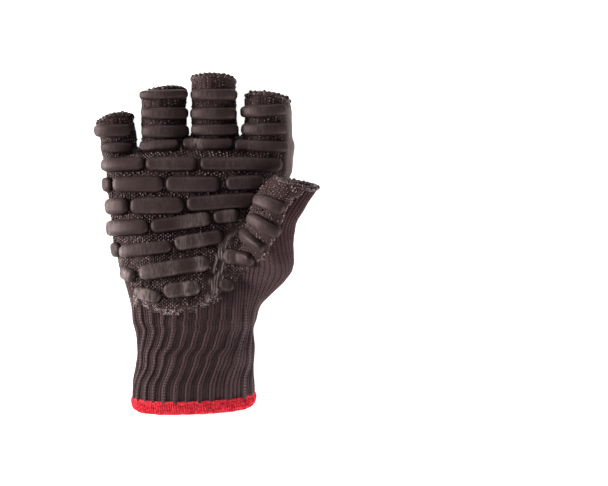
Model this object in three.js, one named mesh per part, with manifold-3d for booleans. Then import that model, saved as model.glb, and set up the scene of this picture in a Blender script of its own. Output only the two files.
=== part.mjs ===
// A half-finger impact glove for the right hand, lying on its back with the palm up.
// Millimetres. +X towards the thumb, +Y towards the fingertips, +Z up out of the palm.
// One skin of four-sided patches is built first, in columns, as the glove is knitted: four finger
// tubes join into the hand, and the thumb tube joins in below them. Every soft piece is a wall
// raised from that skin, and every pad is laid on it.
import * as THREE from "three";
import Module from "manifold-3d";

const wasm = await Module();
wasm.setup();

const MIDDLE = { x: 6.3, y: 1.4 }; // the glove's middle, in the frame of the tables below

// Walls and gaps
const KNIT = 1.9; // thickness of the string knit
const GAP = 0.3; // between pieces that touch on the real glove
const COAT = 0.9; // thickness of the rubber coat
const RIB_DEPTH = 1.8; // from the crest to the valley of a cuff rib
const HEM_WALL = 4.4; // the overlocked hem, through the wall
const HEM_HEIGHT = 6.0; // the hem, along the wrist
const HEM_INSET = 1.4; // the hem's middle line, inside the crests of the ribs
const HEM_GAP = 0.65; // between the cuff's wavy end and the hem
const EDGE_RADIUS = 1.35; // the overcast roll round a finger end
const PAD_HEIGHT = 4.2; // a full pad above its own base
const PAD_BASE = 2 * GAP + COAT + 0.4; // a pad's base off the skin

// Columns of patches round each part
const FINGER_COLUMNS = 14;
const THUMB_COLUMNS = 16;
const HAND_COLUMNS = 44;
const WRIST_COLUMNS = 52; // a crest and a valley of a cuff rib take a column each
const HEM_COLUMNS = 40;

// Each finger tube, from the web to its cut end. webLeft and webRight are the heights of the webs
// at its two sides, endLeft and endRight those of the cut end; crown is how much further the cut
// end reaches in the middle of the palm side.
const FINGERS = [
  { name: "index", webLeft: 61, webRight: 58, endLeft: 85.1, endRight: 81.6, crown: 2.8,
    baseX: 41.1, baseWidth: 30.4, endX: 42.3, endWidth: 25.4, depth: 20.4, rise: 2 },
  { name: "middle", webLeft: 61, webRight: 61, endLeft: 94.5, endRight: 93.8, crown: 2.9,
    baseX: 11.4, baseWidth: 29.2, endX: 10.9, endWidth: 25.6, depth: 20.4, rise: 1.6 },
  { name: "ring", webLeft: 53.5, webRight: 61, endLeft: 84.1, endRight: 88.2, crown: 3.2,
    baseX: -18.2, baseWidth: 30, endX: -18.4, endWidth: 25.6, depth: 20, rise: 1.8 },
  { name: "little", webLeft: 50, webRight: 53.5, endLeft: 67.8, endRight: 72.3, crown: 4,
    baseX: -43.2, baseWidth: 20, endX: -46.4, endWidth: 20.4, depth: 18, rise: 2.6 },
];
const COLLAR = 4; // the stretch of each tube that belongs to the hand
const NECK = 8; // how quickly a tube narrows above its web
const SINK = 0.7; // how far each tube is pressed flat where it rests
const WEB_FILL = 3; // how far the palm side of a finger web stands above the tubes' own sides

// Cross-sections of the hand down to the thumb web, and the wrist's. draw is how many columns of
// the palm are drawn across to the left by the thumb.
const HAND_ROWS = [
  { y: 47, left: -52.4, right: 54.8, top: 25.0, draw: 0 },
  { y: 36, left: -51.3, right: 53.6, top: 26.4, draw: 0.5 },
  { y: 24.5, left: -49.7, right: 51.4, top: 26.6, draw: 1.6 },
  { y: 13, left: -47.8, right: 48.4, top: 26.8, draw: 3.2 },
];
const WRIST = { y: -44, left: -36.8, right: 36.2, top: 33.4 };
const LOWER_ROWS = 5;
const HAND_SQUARENESS = 2.5; // the exponent of a section: 2 is an ellipse
const FINGER_SQUARENESS = 2.2;
const SIDE_LEVEL = 0.46; // the height of a section's widest place, as a share of its top
const FLATTENED = 1.4; // how far a section is pressed flat where it lies
const BACK_CROWN = 0.4; // a finger end's crown on its back, as a share of the palm side's

// The thumb tube, from its joint with the hand to its cut end. roll turns its palm side to the left.
const THUMB = [
  { x: 41.8, y: -3, z: 25, width: 40, depth: 25, roll: 40 },
  { x: 43.4, y: 5.5, z: 33, width: 35, depth: 26, roll: 48 },
  { x: 45.2, y: 14.5, z: 38.2, width: 31.5, depth: 27, roll: 54 },
  { x: 49.6, y: 23.2, z: 40.6, width: 30, depth: 26, roll: 56 },
  { x: 57, y: 33.3, z: 42, width: 27.5, depth: 23.5, roll: 56 },
];
// How much further its cut end reaches at its outer side, at its palm side, and at both flats
const THUMB_END = { outer: 3.2, palm: -4, crown: 1.6 };
// The web between the thumb and the hand, from the palm round to the back
const THUMB_WEB = [
  [24.5, 9.4, 27],
  [33, 12.4, 22],
  [40.8, 13.2, 15.6],
  [45.6, 12.4, 10],
  [48.4, 10.4, 4.6],
];

// Rises and hollows of the palm: centre, height and half-widths
const PALM_RELIEF = [
  { x: -30, y: -8, height: 3.0, across: 20, along: 28 },
  { x: 13, y: -17, height: -3.6, across: 9, along: 22 },
  { x: 26, y: -12, height: 2.4, across: 9, along: 12 },
  { x: 2, y: 20, height: -1.6, across: 30, along: 14 },
];

// The cuff's own sections between the wrist and the hem: share of its length, its crests' left and
// right edges, its top, and how far the ribs have slumped sideways, in columns
const CUFF_ROWS = [
  { share: 0.0, left: -36.8, right: 36.2, top: 33.2, slump: 0.0, ribs: 0.15 },
  { share: 0.11, left: -35.4, right: 34.8, top: 33.0, slump: -0.5, ribs: 0.9 },
  { share: 0.23, left: -34.6, right: 34.8, top: 32.4, slump: 0.1, ribs: 1 },
  { share: 0.36, left: -34.0, right: 35.6, top: 32.8, slump: 0.9, ribs: 1 },
  { share: 0.49, left: -34.2, right: 35.4, top: 33.6, slump: 0.8, ribs: 1 },
  { share: 0.61, left: -35.0, right: 34.8, top: 33.0, slump: 0.9, ribs: 1 },
  { share: 0.73, left: -36.0, right: 34.8, top: 33.6, slump: 1.7, ribs: 1 },
  { share: 0.86, left: -36.8, right: 35.2, top: 34.0, slump: 1.9, ribs: 1 },
  { share: 1.0, left: -36.8, right: 35.6, top: 34.0, slump: 2, ribs: 0.8 },
];
// The cuff's end: its heights at its two sides, and how much lower it hangs over the palm, from
// which share of its top upwards
const CUFF_END = { left: -87.2, right: -84.9, palmSag: 7.9, sagFrom: 0.4 };

// Where the skin is evened out: round each finger web, and in the two folds at the thumb's root
const WEB_REACH = 6;
const THUMB_FOLDS = [
  { x: 38, y: 8, z: 18, reach: 30 },
  { x: 27, y: -10, z: 26, reach: 26 },
];

// The coat's edge across the heel of the hand and up the thumb, from left to right
const COAT_EDGE = [
  [-46, -13.0], [-41.2, -17.6], [-37.4, -21], [-36.4, -26.2], [-31.6, -29.8], [-26.2, -33.4],
  [-19.2, -36.6], [-12.2, -36.8], [-2.9, -35.4], [3.2, -34.2], [8.2, -32.2], [15.9, -27.4],
  [23.6, -21.6], [28.2, -16], [32.4, -11.4], [38.2, -8.7], [42.8, -5.4], [44.8, 1.7], [48.8, 7.4],
  [51.6, 14.2], [54.5, 22], [60, 27.4], [80, 34],
];

// How a pad follows the skin
const WALK_STEP = 0.8; // from one place of its trail to the next
const WALK_MOST = 90; // places of a trail
const UPRIGHT = 0.02; // the least upward share of the skin's direction under a pad
const CREASE = 0.55; // how sharply the skin may turn back under a pad
const LEAN = 0.7; // how much of a pad's height counts as length where the skin slopes
const SECTION_WAY = 17; // the longest way between two of its sections
const SECTION_BEND = 17; // and the most degrees that it bends between them

// The pads: centre, slope in degrees, length and width as seen from above. With two more numbers, a
// pad runs from there down the left side of the hand, until the skin's upward share is that small,
// and its height is the last number's share of a full pad's.
const PADS = [
  ["little_pad_1", -47.4, 66.8, -1, 22.2, 7.5],
  ["little_pad_2", -45.3, 56.9, -1, 19.1, 6.5],
  ["ring_pad_1", -18.3, 87.4, 2, 28.3, 5.4],
  ["ring_pad_2", -17.5, 76.6, 0, 27.3, 7.1],
  ["ring_pad_3", -17.3, 65.9, 0, 27.7, 7.7],
  ["middle_pad_1", 11.3, 87.3, 0, 27.2, 6.6],
  ["middle_pad_2", 11, 76.2, 0, 27.3, 7.3],
  ["middle_pad_3", 11.6, 66.9, 0, 27.7, 6.8],
  ["index_pad_1", 40.4, 78, 4, 26.7, 7],
  ["index_pad_2", 40.7, 67.3, 2, 27.2, 7.3],
  ["row_4_pad_1", -20.2, 56.9, 0, 24, 6.4],
  ["row_4_pad_2", 7.8, 57.5, 0, 30.2, 6.6],
  ["row_4_pad_3", 38.6, 56.8, 0, 32, 6.7],
  ["row_5_pad_1", -41.5, 46.4, 0, 25.9, 8.6],
  ["row_5_pad_2", -12.9, 46.3, 0, 30.6, 8.6],
  ["row_5_pad_3", 27.3, 46.3, 0, 47.9, 7.9],
  ["row_6_pad_1", -48.7, 35.2, 0, 1, 8.6, -0.5, 0.7],
  ["row_6_pad_2", -32.3, 35.1, 0, 30.7, 9.2],
  ["row_6_pad_3", -0.4, 35.2, 0, 32.5, 9.2],
  ["row_6_pad_4", 29.6, 36.2, 3, 23.2, 8.2],
  ["row_7_pad_1", -44.6, 22.5, 0, 14.5, 10],
  ["row_7_pad_2", -21.2, 22.7, 1, 31.8, 9.8],
  ["row_7_pad_3", 16.2, 25.1, 4, 42, 8.8],
  ["row_8_pad_1", -38.5, 10, 1, 25.2, 9.3],
  ["row_8_pad_2", -7.4, 12.8, 9, 35.5, 8.2],
  ["row_8_pad_3", 18.6, 16.7, 7, 15.8, 7.6],
  ["row_9_pad_1", -43.6, -2.4, 6, 1, 8.6, -0.5, 0.7],
  ["row_9_pad_2", -27.8, -2.5, 6, 31.2, 7.4],
  ["row_9_pad_3", 3, 2.7, 11, 28.9, 8.2],
  ["row_10_pad_1", -38, -16.4, -24, 9.3, 7.2],
  ["row_10_pad_2", -10.9, -13.2, 9, 42, 8.9],
  ["row_11_pad_1", -26.4, -28.2, -16, 16.4, 7],
  ["row_11_pad_2", -6.4, -25.4, 7, 22.6, 8.6],
  ["thumb_pad_1", 44, 23, -20, 19, 7.6],
  ["thumb_pad_2", 41.4, 11.5, -28, 21.5, 7.6],
  ["thumb_pad_3", 32, 5.2, -36, 25, 7.4],
  ["thumb_pad_4", 25.2, -7.2, -5, 17.5, 8.6],
  ["thumb_pad_5", 18.9, -23.3, -6, 9.6, 7.4],
];

const DEGREE = Math.PI / 180;
const lerp = (a, b, t) => a + (b - a) * t;
const point = (x, y, z) => new THREE.Vector3(x, y, z);
const glove = new THREE.Group();

// The skin: shared points, and patches that know their piece and their column
const points = [];
const patches = [];

function addPoint(p) {
  points.push(p);
  return points.length - 1;
}

// Patches between two closed rings of point numbers, the second ring nearer the fingertips.
function joinRings(low, high, piece, part) {
  low.forEach((_, k) => {
    const next = (k + 1) % low.length;
    patches.push({ corners: [low[k], high[k], high[next], low[next]], piece, part, column: k });
  });
}

// A superellipse: its width and height at an angle, as shares of its half-axes.
function roundedBox(angle, squareness) {
  const c = Math.cos(angle);
  const s = Math.sin(angle);
  const power = 2 / squareness;
  return [Math.sign(c) * Math.abs(c) ** power, Math.sign(s) * Math.abs(s) ** power];
}

// A section of the hand or cuff, walked from its right side over the palm to its left side and
// back underneath, where it is pressed flat. The result gives the point at any column number.
function section({ y, left, right, top }, columns) {
  const steps = 720;
  const walk = [];
  let length = 0;
  for (let i = 0; i <= steps; i++) {
    const [c, s] = roundedBox((i / steps) * 2 * Math.PI, HAND_SQUARENESS);
    const middle = top * SIDE_LEVEL;
    const height = s > 0 ? top - middle : middle + FLATTENED;
    const p = point((left + right) / 2 + ((right - left) / 2) * c, y, Math.max(0, middle + height * s));
    if (i) length += p.distanceTo(walk[i - 1].p);
    walk.push({ p, length });
  }
  const side = walk[steps / 2].length;
  const half = columns / 2;
  return (column) => {
    const k = ((column % columns) + columns) % columns;
    const distance = k <= half ? (k / half) * side : lerp(side, length, k / half - 1);
    const i = Math.max(1, walk.findIndex((w) => w.length >= distance - 1e-9));
    const [a, b] = [walk[i - 1], walk[i]];
    return a.p.clone().lerp(b.p, (distance - a.length) / (b.length - a.length));
  };
}

// A finger's ring at a share of its length, 0 at the web and 1 at the cut end.
function fingerRing(finger, share) {
  return Array.from({ length: FINGER_COLUMNS }, (_, k) => {
    const angle = (k / FINGER_COLUMNS) * 2 * Math.PI;
    const [c, s] = roundedBox(angle, FINGER_SQUARENESS);
    const across = (Math.cos(angle) + 1) / 2;
    const web = lerp(finger.webLeft, finger.webRight, across);
    const crown = finger.crown * (s > 0 ? s : -BACK_CROWN * s);
    const end = lerp(finger.endLeft, finger.endRight, across) + crown;
    const width = lerp(finger.baseWidth, finger.endWidth, 1 - (1 - share) ** NECK);
    const x = lerp(finger.baseX, finger.endX, share) + (width / 2) * c;
    const z = (finger.depth / 2) * (1 + s) - SINK;
    return point(x, lerp(web, end, share), Math.max(0, z) + finger.rise * share ** 2);
  });
}

// The directions of the thumb tube at a station: along it, towards its palm side, and outwards.
function thumbFrame(i) {
  const at = (n) => point(THUMB[n].x, THUMB[n].y, THUMB[n].z);
  const along = at(Math.min(i + 1, THUMB.length - 1)).sub(at(Math.max(i - 1, 0))).normalize();
  const up = point(0, 0, 1).addScaledVector(along, -along.z).normalize();
  const inward = up.clone().cross(along);
  const roll = THUMB[i].roll * DEGREE;
  const palm = up.clone().multiplyScalar(Math.cos(roll)).addScaledVector(inward, Math.sin(roll));
  const outward = inward.clone().multiplyScalar(-Math.cos(roll)).addScaledVector(up, Math.sin(roll));
  return { centre: at(i), along, palm, outward };
}

function thumbRing(i) {
  const { centre, palm, outward, along } = thumbFrame(i);
  const end = i === THUMB.length - 1 ? 1 : 0;
  return Array.from({ length: THUMB_COLUMNS }, (_, k) => {
    const angle = (k / THUMB_COLUMNS) * 2 * Math.PI;
    const [c, s] = [Math.cos(angle), Math.sin(angle)];
    const reach = end * (THUMB_END.crown * Math.abs(s) + THUMB_END.outer * c + THUMB_END.palm * s);
    return centre.clone()
      .addScaledVector(outward, (THUMB[i].width / 2) * c)
      .addScaledVector(palm, (THUMB[i].depth / 2) * s)
      .addScaledVector(along, reach);
  });
}

// The first rings of the finger tubes make the top of the hand. Neighbouring tubes share three
// points: one on the palm, one at the web and one on the back.
const fingerHalf = FINGER_COLUMNS / 2;
const fingerStart = {}; // point numbers
const handTop = new Array(HAND_COLUMNS);
FINGERS.forEach((finger, f) => {
  const last = FINGER_COLUMNS - 1;
  const before = f ? fingerStart[FINGERS[f - 1].name] : [];
  const [onPalm, atWeb, onBack] = [fingerHalf - 1, fingerHalf, fingerHalf + 1].map((k) => before[k]);
  const shared = f ? { 1: onPalm, 0: atWeb, [last]: onBack } : {};
  const numbers = fingerRing(finger, 0).map((p, k) => {
    if (!(k in shared)) return addPoint(p);
    points[shared[k]].add(p).multiplyScalar(0.5);
    if (k === 1) points[shared[k]].z += WEB_FILL;
    return shared[k];
  });
  fingerStart[finger.name] = numbers;
  const first = f * (fingerHalf - 2);
  const back = HAND_COLUMNS - FINGER_COLUMNS - first;
  for (let k = 1; k < fingerHalf; k++) handTop[first + k] = numbers[k];
  for (let k = fingerHalf + 1; k <= last; k++) handTop[back + k] = numbers[k];
  if (f === 0) handTop[0] = numbers[0];
  if (f === FINGERS.length - 1) handTop[HAND_COLUMNS / 2] = numbers[fingerHalf];
});

// The finger tubes, each with its collar on the hand
const tubeEnds = {};
for (const finger of FINGERS) {
  const length = (finger.endLeft + finger.endRight - finger.webLeft - finger.webRight) / 2;
  const rows = Math.max(2, Math.round((length - COLLAR) / 9));
  let low = fingerStart[finger.name];
  for (let r = 0; r <= rows; r++) {
    const high = fingerRing(finger, lerp(COLLAR / length, 1, r / rows)).map(addPoint);
    joinRings(low, high, r ? finger.name + "_stall" : "knit_hand", finger.name);
    if (r === rows) tubeEnds[finger.name] = { ring: high, below: low };
    low = high;
  }
}

// The hand from the finger webs down to the thumb web
const webNumbers = THUMB_WEB.map(([x, y, z]) => addPoint(point(x, y, z)));
const webColumns = [2, 1, 0, HAND_COLUMNS - 1, HAND_COLUMNS - 2];
let upperRing = handTop;
HAND_ROWS.forEach((row, r) => {
  const at = section(row, HAND_COLUMNS);
  const ring = Array.from({ length: HAND_COLUMNS }, (_, k) => {
    const web = webColumns.indexOf(k);
    const drawn = k < 2 ? k / 2 : Math.max(0, (HAND_COLUMNS / 2 - k) / (HAND_COLUMNS / 2 - 2));
    return r === HAND_ROWS.length - 1 && web >= 0 ? webNumbers[web] : addPoint(at(k + row.draw * drawn));
  });
  joinRings(ring, upperRing, "knit_hand", "palm");
  upperRing = ring;
});

// The thumb tube joins the hand at the web.
const thumbHalf = THUMB_COLUMNS / 2;
const thumbStart = thumbRing(0).map((p, k) => {
  const web = k - (thumbHalf - 2);
  return web >= 0 && web < webNumbers.length ? webNumbers[web] : addPoint(p);
});
let thumbLow = thumbStart;
for (let i = 1; i < THUMB.length; i++) {
  const high = thumbRing(i).map(addPoint);
  joinRings(thumbLow, high, i === 1 ? "knit_hand" : "thumb_stall", "thumb");
  if (i === THUMB.length - 1) tubeEnds.thumb = { ring: high, below: thumbLow };
  thumbLow = high;
}

// Below the web, one ring runs round the thumb's base and the hand together, and each of its
// columns sweeps down to the wrist.
const joined = [
  ...thumbStart.slice(0, thumbHalf - 1),
  ...upperRing.slice(3, HAND_COLUMNS - 2),
  ...thumbStart.slice(thumbHalf + 2),
];
const wristAt = section(WRIST, WRIST_COLUMNS);
const thumbDown = thumbFrame(0).along.clone().negate();
const onThumb = new Set(thumbStart);
let leaving = joined.map((number) => (onThumb.has(number) ? thumbDown.clone() : point(0, -1, 0)));
for (let round = 0; round < 4; round++) {
  leaving = leaving.map((_, k) => {
    const next = leaving[(k + 1) % leaving.length];
    return leaving.at(k - 1).clone().add(next).normalize();
  });
}
let lowerRing = joined;
for (let r = 1; r <= LOWER_ROWS; r++) {
  const t = r / LOWER_ROWS;
  const ring = joined.map((number, k) => {
    const from = points[number];
    const to = wristAt(k);
    const reach = from.distanceTo(to);
    return addPoint(point(0, 0, 0)
      .addScaledVector(from, 2 * t ** 3 - 3 * t ** 2 + 1)
      .addScaledVector(leaving[k], (t ** 3 - 2 * t ** 2 + t) * reach)
      .addScaledVector(to, 3 * t ** 2 - 2 * t ** 3)
      .addScaledVector(point(0, -1, 0), (t ** 3 - t ** 2) * reach));
  });
  joinRings(ring, lowerRing, "knit_hand", "heel");
  lowerRing = ring;
}

// The height of the cuff's end at a place of its section
function cuffEnd(p, { left, right, top }) {
  const sag = CUFF_END.palmSag * Math.max(0, p.z / top - CUFF_END.sagFrom);
  return lerp(CUFF_END.left, CUFF_END.right, (p.x - left) / (right - left)) - sag;
}

// The ribbed cuff, on points of its own just below the hand
function cuffRing({ share, left, right, top, slump, ribs }) {
  const inset = (ribs * RIB_DEPTH) / 2;
  const at = section({ y: 0, left: left + inset, right: right - inset, top: top - inset }, WRIST_COLUMNS);
  return Array.from({ length: WRIST_COLUMNS }, (_, k) => {
    const p = at(k + slump);
    const outward = point(0, 1, 0).cross(at(k + slump + 0.5).sub(at(k + slump - 0.5))).normalize();
    p.addScaledVector(outward, k % 2 ? -inset : inset);
    const end = cuffEnd(p, { left, right, top });
    return addPoint(point(p.x, lerp(WRIST.y - GAP, end, share), Math.max(0, p.z)));
  });
}
const cuffTop = cuffRing(CUFF_ROWS[0]);
let cuffLow = cuffTop;
for (const row of CUFF_ROWS.slice(1)) {
  const ring = cuffRing(row);
  joinRings(ring, cuffLow, "rib_cuff", "cuff");
  cuffLow = ring;
}

// Rises and hollows of the palm, then an evening-out of the skin round every web
for (const p of points) {
  const share = THREE.MathUtils.smoothstep(p.z, 12, 22);
  for (const { x, y, height, across, along } of PALM_RELIEF) {
    p.z += share * height * Math.exp(-(((p.x - x) / across) ** 2) - ((p.y - y) / along) ** 2);
  }
}
const webs = [
  ...FINGERS.slice(1).map((f) => ({ at: points[fingerStart[f.name][0]].clone(), reach: WEB_REACH })),
  ...THUMB_FOLDS.map(({ x, y, z, reach }) => ({ at: point(x, y, z), reach })),
];
function evenOut(rounds) {
  const near = points.map(() => new Set());
  for (const { corners } of patches) {
    corners.forEach((n, i) => near[n].add(corners[(i + 1) % 4]).add(corners[(i + 3) % 4]));
  }
  const ends = new Set([...Object.values(tubeEnds).flatMap(({ ring }) => ring), ...lowerRing]);
  for (let round = 0; round < rounds; round++) {
    const moved = points.map((p, n) => {
      const weight = Math.max(...webs.map(({ at, reach }) => 1 - p.distanceTo(at) / reach));
      if (weight <= 0 || ends.has(n)) return p;
      const mean = point(0, 0, 0);
      near[n].forEach((m) => mean.add(points[m]));
      return p.clone().lerp(mean.divideScalar(near[n].size), 0.5 * Math.min(1, 2 * weight));
    });
    moved.forEach((p, n) => points[n].set(p.x, p.y, Math.max(0, p.z)));
  }
}
evenOut(5);

// Outward directions of the skin at its points
const normals = points.map(() => point(0, 0, 0));
for (const { corners } of patches) {
  const [a, b, c, d] = corners.map((n) => points[n]);
  const face = c.clone().sub(a).cross(d.clone().sub(b));
  corners.forEach((n) => normals[n].add(face));
}
for (const ring of [lowerRing, cuffTop]) ring.forEach((n) => normals[n].setY(0)); // square ends at the wrist
normals.forEach((n) => n.normalize());

function geometryOf(position, triangles) {
  const geometry = new THREE.BufferGeometry();
  geometry.setAttribute("position", new THREE.Float32BufferAttribute(position, 3));
  geometry.setIndex(triangles);
  return geometry;
}

// A closed wall over some patches, between two distances off the skin. moved gives some of its
// points a new place on the skin.
function wall(chosen, inner, outer, moved = new Map()) {
  const place = new Map();
  const position = [];
  const triangles = [];
  const number = (n, level) => {
    const key = n * 2 + level;
    if (!place.has(key)) {
      const p = (moved.get(n) ?? points[n]).clone().addScaledVector(normals[n], level ? outer : inner);
      place.set(key, position.length / 3);
      position.push(p.x, p.y, p.z);
    }
    return place.get(key);
  };
  const rims = new Map();
  for (const { corners } of chosen) {
    const up = corners.map((n) => number(n, 1));
    const down = corners.map((n) => number(n, 0));
    triangles.push(up[0], up[1], up[2], up[0], up[2], up[3]);
    triangles.push(down[0], down[2], down[1], down[0], down[3], down[2]);
    corners.forEach((p, i) => {
      const q = corners[(i + 1) % 4];
      if (!rims.delete(q + "," + p)) rims.set(p + "," + q, [p, q]);
    });
  }
  for (const [p, q] of rims.values()) {
    triangles.push(number(p, 0), number(q, 0), number(q, 1), number(p, 0), number(q, 1), number(p, 1));
  }
  return geometryOf(position, triangles);
}

// Materials
function finish(colour, roughness) {
  return new THREE.MeshStandardMaterial({ color: colour, roughness, metalness: 0 });
}
const knitFinish = finish(0x2a2120, 0.95);
const coatFinish = finish(0x2c2422, 0.55);
const padFinish = finish(0x3d3331, 0.6);
const yarnFinish = finish(0x241c1b, 0.95);
const hemFinish = finish(0xd21c2a, 0.9);

function addPiece(name, geometry, material) {
  const mesh = new THREE.Mesh(geometry, material);
  mesh.name = name;
  glove.add(mesh);
}

// The knitted pieces: cuff, hand and five stalls. Each stall starts a gap above the hand's collar.
addPiece("rib_cuff", wall(patches.filter((p) => p.piece === "rib_cuff"), -KNIT, 0), knitFinish);
addPiece("knit_hand", wall(patches.filter((p) => p.piece === "knit_hand"), -KNIT, 0), knitFinish);
for (const part of [...FINGERS.map((f) => f.name), "thumb"]) {
  const chosen = patches.filter((p) => p.piece === part + "_stall");
  const columns = part === "thumb" ? THUMB_COLUMNS : FINGER_COLUMNS;
  const moved = new Map();
  for (const { corners: [low, , , next] } of chosen.slice(0, columns)) {
    const round = points[next].clone().sub(points[low]);
    moved.set(low, points[low].clone().add(round.cross(normals[low]).setLength(GAP * 1.5)));
  }
  addPiece(part + "_stall", wall(chosen, -KNIT, 0, moved), knitFinish);
}

// A ring of round or flattened section that follows a closed line: at each place a centre and the
// two half-axes of the section, the first one leading to the second against the ring's direction.
function rope(places, sides) {
  const position = [];
  const triangles = [];
  places.forEach(({ centre, first, second }, i) => {
    const next = (i + 1) % places.length;
    for (let j = 0; j < sides; j++) {
      const angle = ((j + 0.5) / sides) * 2 * Math.PI;
      const p = centre.clone()
        .addScaledVector(first, Math.cos(angle))
        .addScaledVector(second, Math.sin(angle));
      position.push(p.x, p.y, Math.max(0, p.z));
      const k = (j + 1) % sides;
      const [a, b, c, d] = [i * sides + j, i * sides + k, next * sides + k, next * sides + j];
      triangles.push(a, b, c, a, c, d);
    }
  });
  return geometryOf(position, triangles);
}

// The overcast roll beyond each finger end
for (const [part, { ring, below }] of Object.entries(tubeEnds)) {
  const places = ring.map((n, k) => {
    const along = points[n].clone().sub(points[below[k]]).normalize();
    const outward = normals[n].clone().addScaledVector(along, -along.dot(normals[n])).normalize();
    const centre = points[n].clone()
      .addScaledVector(outward, -KNIT / 2)
      .addScaledVector(along, GAP + EDGE_RADIUS);
    return { centre, first: outward.multiplyScalar(EDGE_RADIUS), second: along.multiplyScalar(EDGE_RADIUS) };
  });
  addPiece(part + "_edge", rope(places, 6), yarnFinish);
}

// The red hem beyond the cuff
const hemPlaces = Array.from({ length: HEM_COLUMNS }, (_, i) => {
  const { left, right, top } = CUFF_ROWS.at(-1);
  const inside = { y: 0, left: left + HEM_INSET, right: right - HEM_INSET, top: top - HEM_INSET };
  const at = section(inside, WRIST_COLUMNS);
  const k = (i / HEM_COLUMNS) * WRIST_COLUMNS;
  const p = at(k);
  const outward = point(0, 1, 0).cross(at(k + 0.5).sub(at(k - 0.5))).normalize();
  const z = Math.max(p.z, HEM_WALL / 2);
  return {
    centre: point(p.x, cuffEnd(p, { left, right, top }) - HEM_GAP - HEM_HEIGHT / 2, z),
    first: outward.multiplyScalar(HEM_WALL / 2),
    second: point(0, HEM_HEIGHT / 2, 0),
  };
});
addPiece("cuff_hem", rope(hemPlaces, 6), hemFinish);

// The rubber coat: a sheet over the palm side of the skin, cut along its edge
function onPalmSide({ part, column }) {
  if (part === "palm") return column < HAND_COLUMNS / 2 || column === HAND_COLUMNS - 1;
  if (part === "heel") return column < WRIST_COLUMNS / 2;
  if (part === "thumb") return column < thumbHalf;
  if (part === "index") return column < fingerHalf || column === FINGER_COLUMNS - 1;
  return part !== "cuff" && column < fingerHalf;
}
const deepWeb = new Set(webNumbers.slice(1, 4)); // the coat stops short of the fold behind the thumb
const palmSide = patches.filter((p) => onPalmSide(p) && !p.corners.some((n) => deepWeb.has(n)));

function toManifold(geometry) {
  const mesh = new wasm.Mesh({
    numProp: 3,
    vertProperties: new Float32Array(geometry.attributes.position.array),
    triVerts: new Uint32Array(geometry.index.array),
  });
  mesh.merge();
  return new wasm.Manifold(mesh);
}

function fromManifold(solid) {
  const mesh = solid.getMesh();
  return geometryOf(Array.from(mesh.vertProperties), Array.from(mesh.triVerts));
}

// An upright block over a closed outline.
function block(outline, low, high) {
  const shape = new THREE.Shape(outline.map(([x, y]) => new THREE.Vector2(x, y)));
  const geometry = new THREE.ExtrudeGeometry(shape, { depth: high - low, bevelEnabled: false });
  geometry.translate(0, 0, low);
  geometry.deleteAttribute("normal");
  geometry.deleteAttribute("uv");
  const count = geometry.attributes.position.count;
  geometry.setIndex(Array.from({ length: count }, (_, i) => i));
  return geometry;
}
const coatOutline = [[-80, COAT_EDGE[0][1]], ...COAT_EDGE, [80, 120], [-80, 120]];
const coatSheet = toManifold(wall(palmSide, GAP, GAP + COAT));
const coatBody = coatSheet.intersect(toManifold(block(coatOutline, -5, 90)));
const coatParts = coatBody.decompose().sort((a, b) => b.volume() - a.volume());
addPiece("palm_coating", fromManifold(coatParts[0]), coatFinish);

// The nearest place on the palm side of the skin, and the smooth outward direction there
const skinTriangles = palmSide.flatMap(({ corners: [a, b, c, d] }) => [[a, b, c], [a, c, d]]);
const skinTriangle = new THREE.Triangle();
function nearest(p) {
  let best = null;
  let least = Infinity;
  const q = point(0, 0, 0);
  for (const triangle of skinTriangles) {
    skinTriangle.set(...triangle.map((n) => points[n]));
    skinTriangle.closestPointToPoint(p, q);
    const distance = q.distanceToSquared(p);
    if (distance < least) {
      least = distance;
      best = { at: q.clone(), triangle };
    }
  }
  skinTriangle.set(...best.triangle.map((n) => points[n]));
  const shares = skinTriangle.getBarycoord(best.at, point(0, 0, 0));
  const out = point(0, 0, 0);
  best.triangle.forEach((n, i) => out.addScaledVector(normals[n], shares.getComponent(i)));
  return { at: best.at, out: out.normalize() };
}

// The highest place of the skin over a spot of the ground
function topOfSkin(x, y) {
  const ray = new THREE.Ray(point(x, y, 200), point(0, 0, -1));
  const hit = point(0, 0, 0);
  let top = null;
  for (const [a, b, c] of skinTriangles) {
    if (!ray.intersectTriangle(points[a], points[b], points[c], true, hit)) continue;
    if (!top || hit.z > top.z) top = hit.clone();
  }
  if (!top) throw new Error("no skin under " + x + ", " + y);
  return top;
}

// Walks over the skin from a place, keeping to an upright plane, until it has gone far enough as
// seen from above, or the skin has turned away, or a crease is reached.
function walkSkin(start, heading, reach, lowest) {
  const side = point(-heading.y, heading.x, 0);
  const trail = [nearest(start)];
  let here = trail[0];
  let steepest = -1;
  while (true) {
    const tangent = heading.clone().addScaledVector(here.out, -heading.dot(here.out)).normalize();
    const ahead = here.at.clone().addScaledVector(tangent, WALK_STEP);
    const next = nearest(ahead);
    next.at.addScaledVector(side, -next.at.clone().sub(start).dot(side));
    const gone = next.at.clone().sub(start).dot(heading);
    const turned = next.out.dot(heading);
    if (gone + turned * PAD_HEIGHT * LEAN > reach || next.out.z < lowest) return trail;
    if (turned < steepest - CREASE || trail.length > WALK_MOST) return trail;
    steepest = Math.max(steepest, turned);
    if (next.at.distanceTo(here.at) < WALK_STEP * 0.3) return trail;
    trail.push(next);
    here = next;
  }
}

// Reads a rising list at a value, and gives the matching value of another list.
function valueAt(value, from, to) {
  const j = Math.max(1, from.findIndex((f) => f >= value - 1e-9));
  return lerp(to[j - 1], to[j], (value - from[j - 1]) / (from[j] - from[j - 1]));
}

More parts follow.
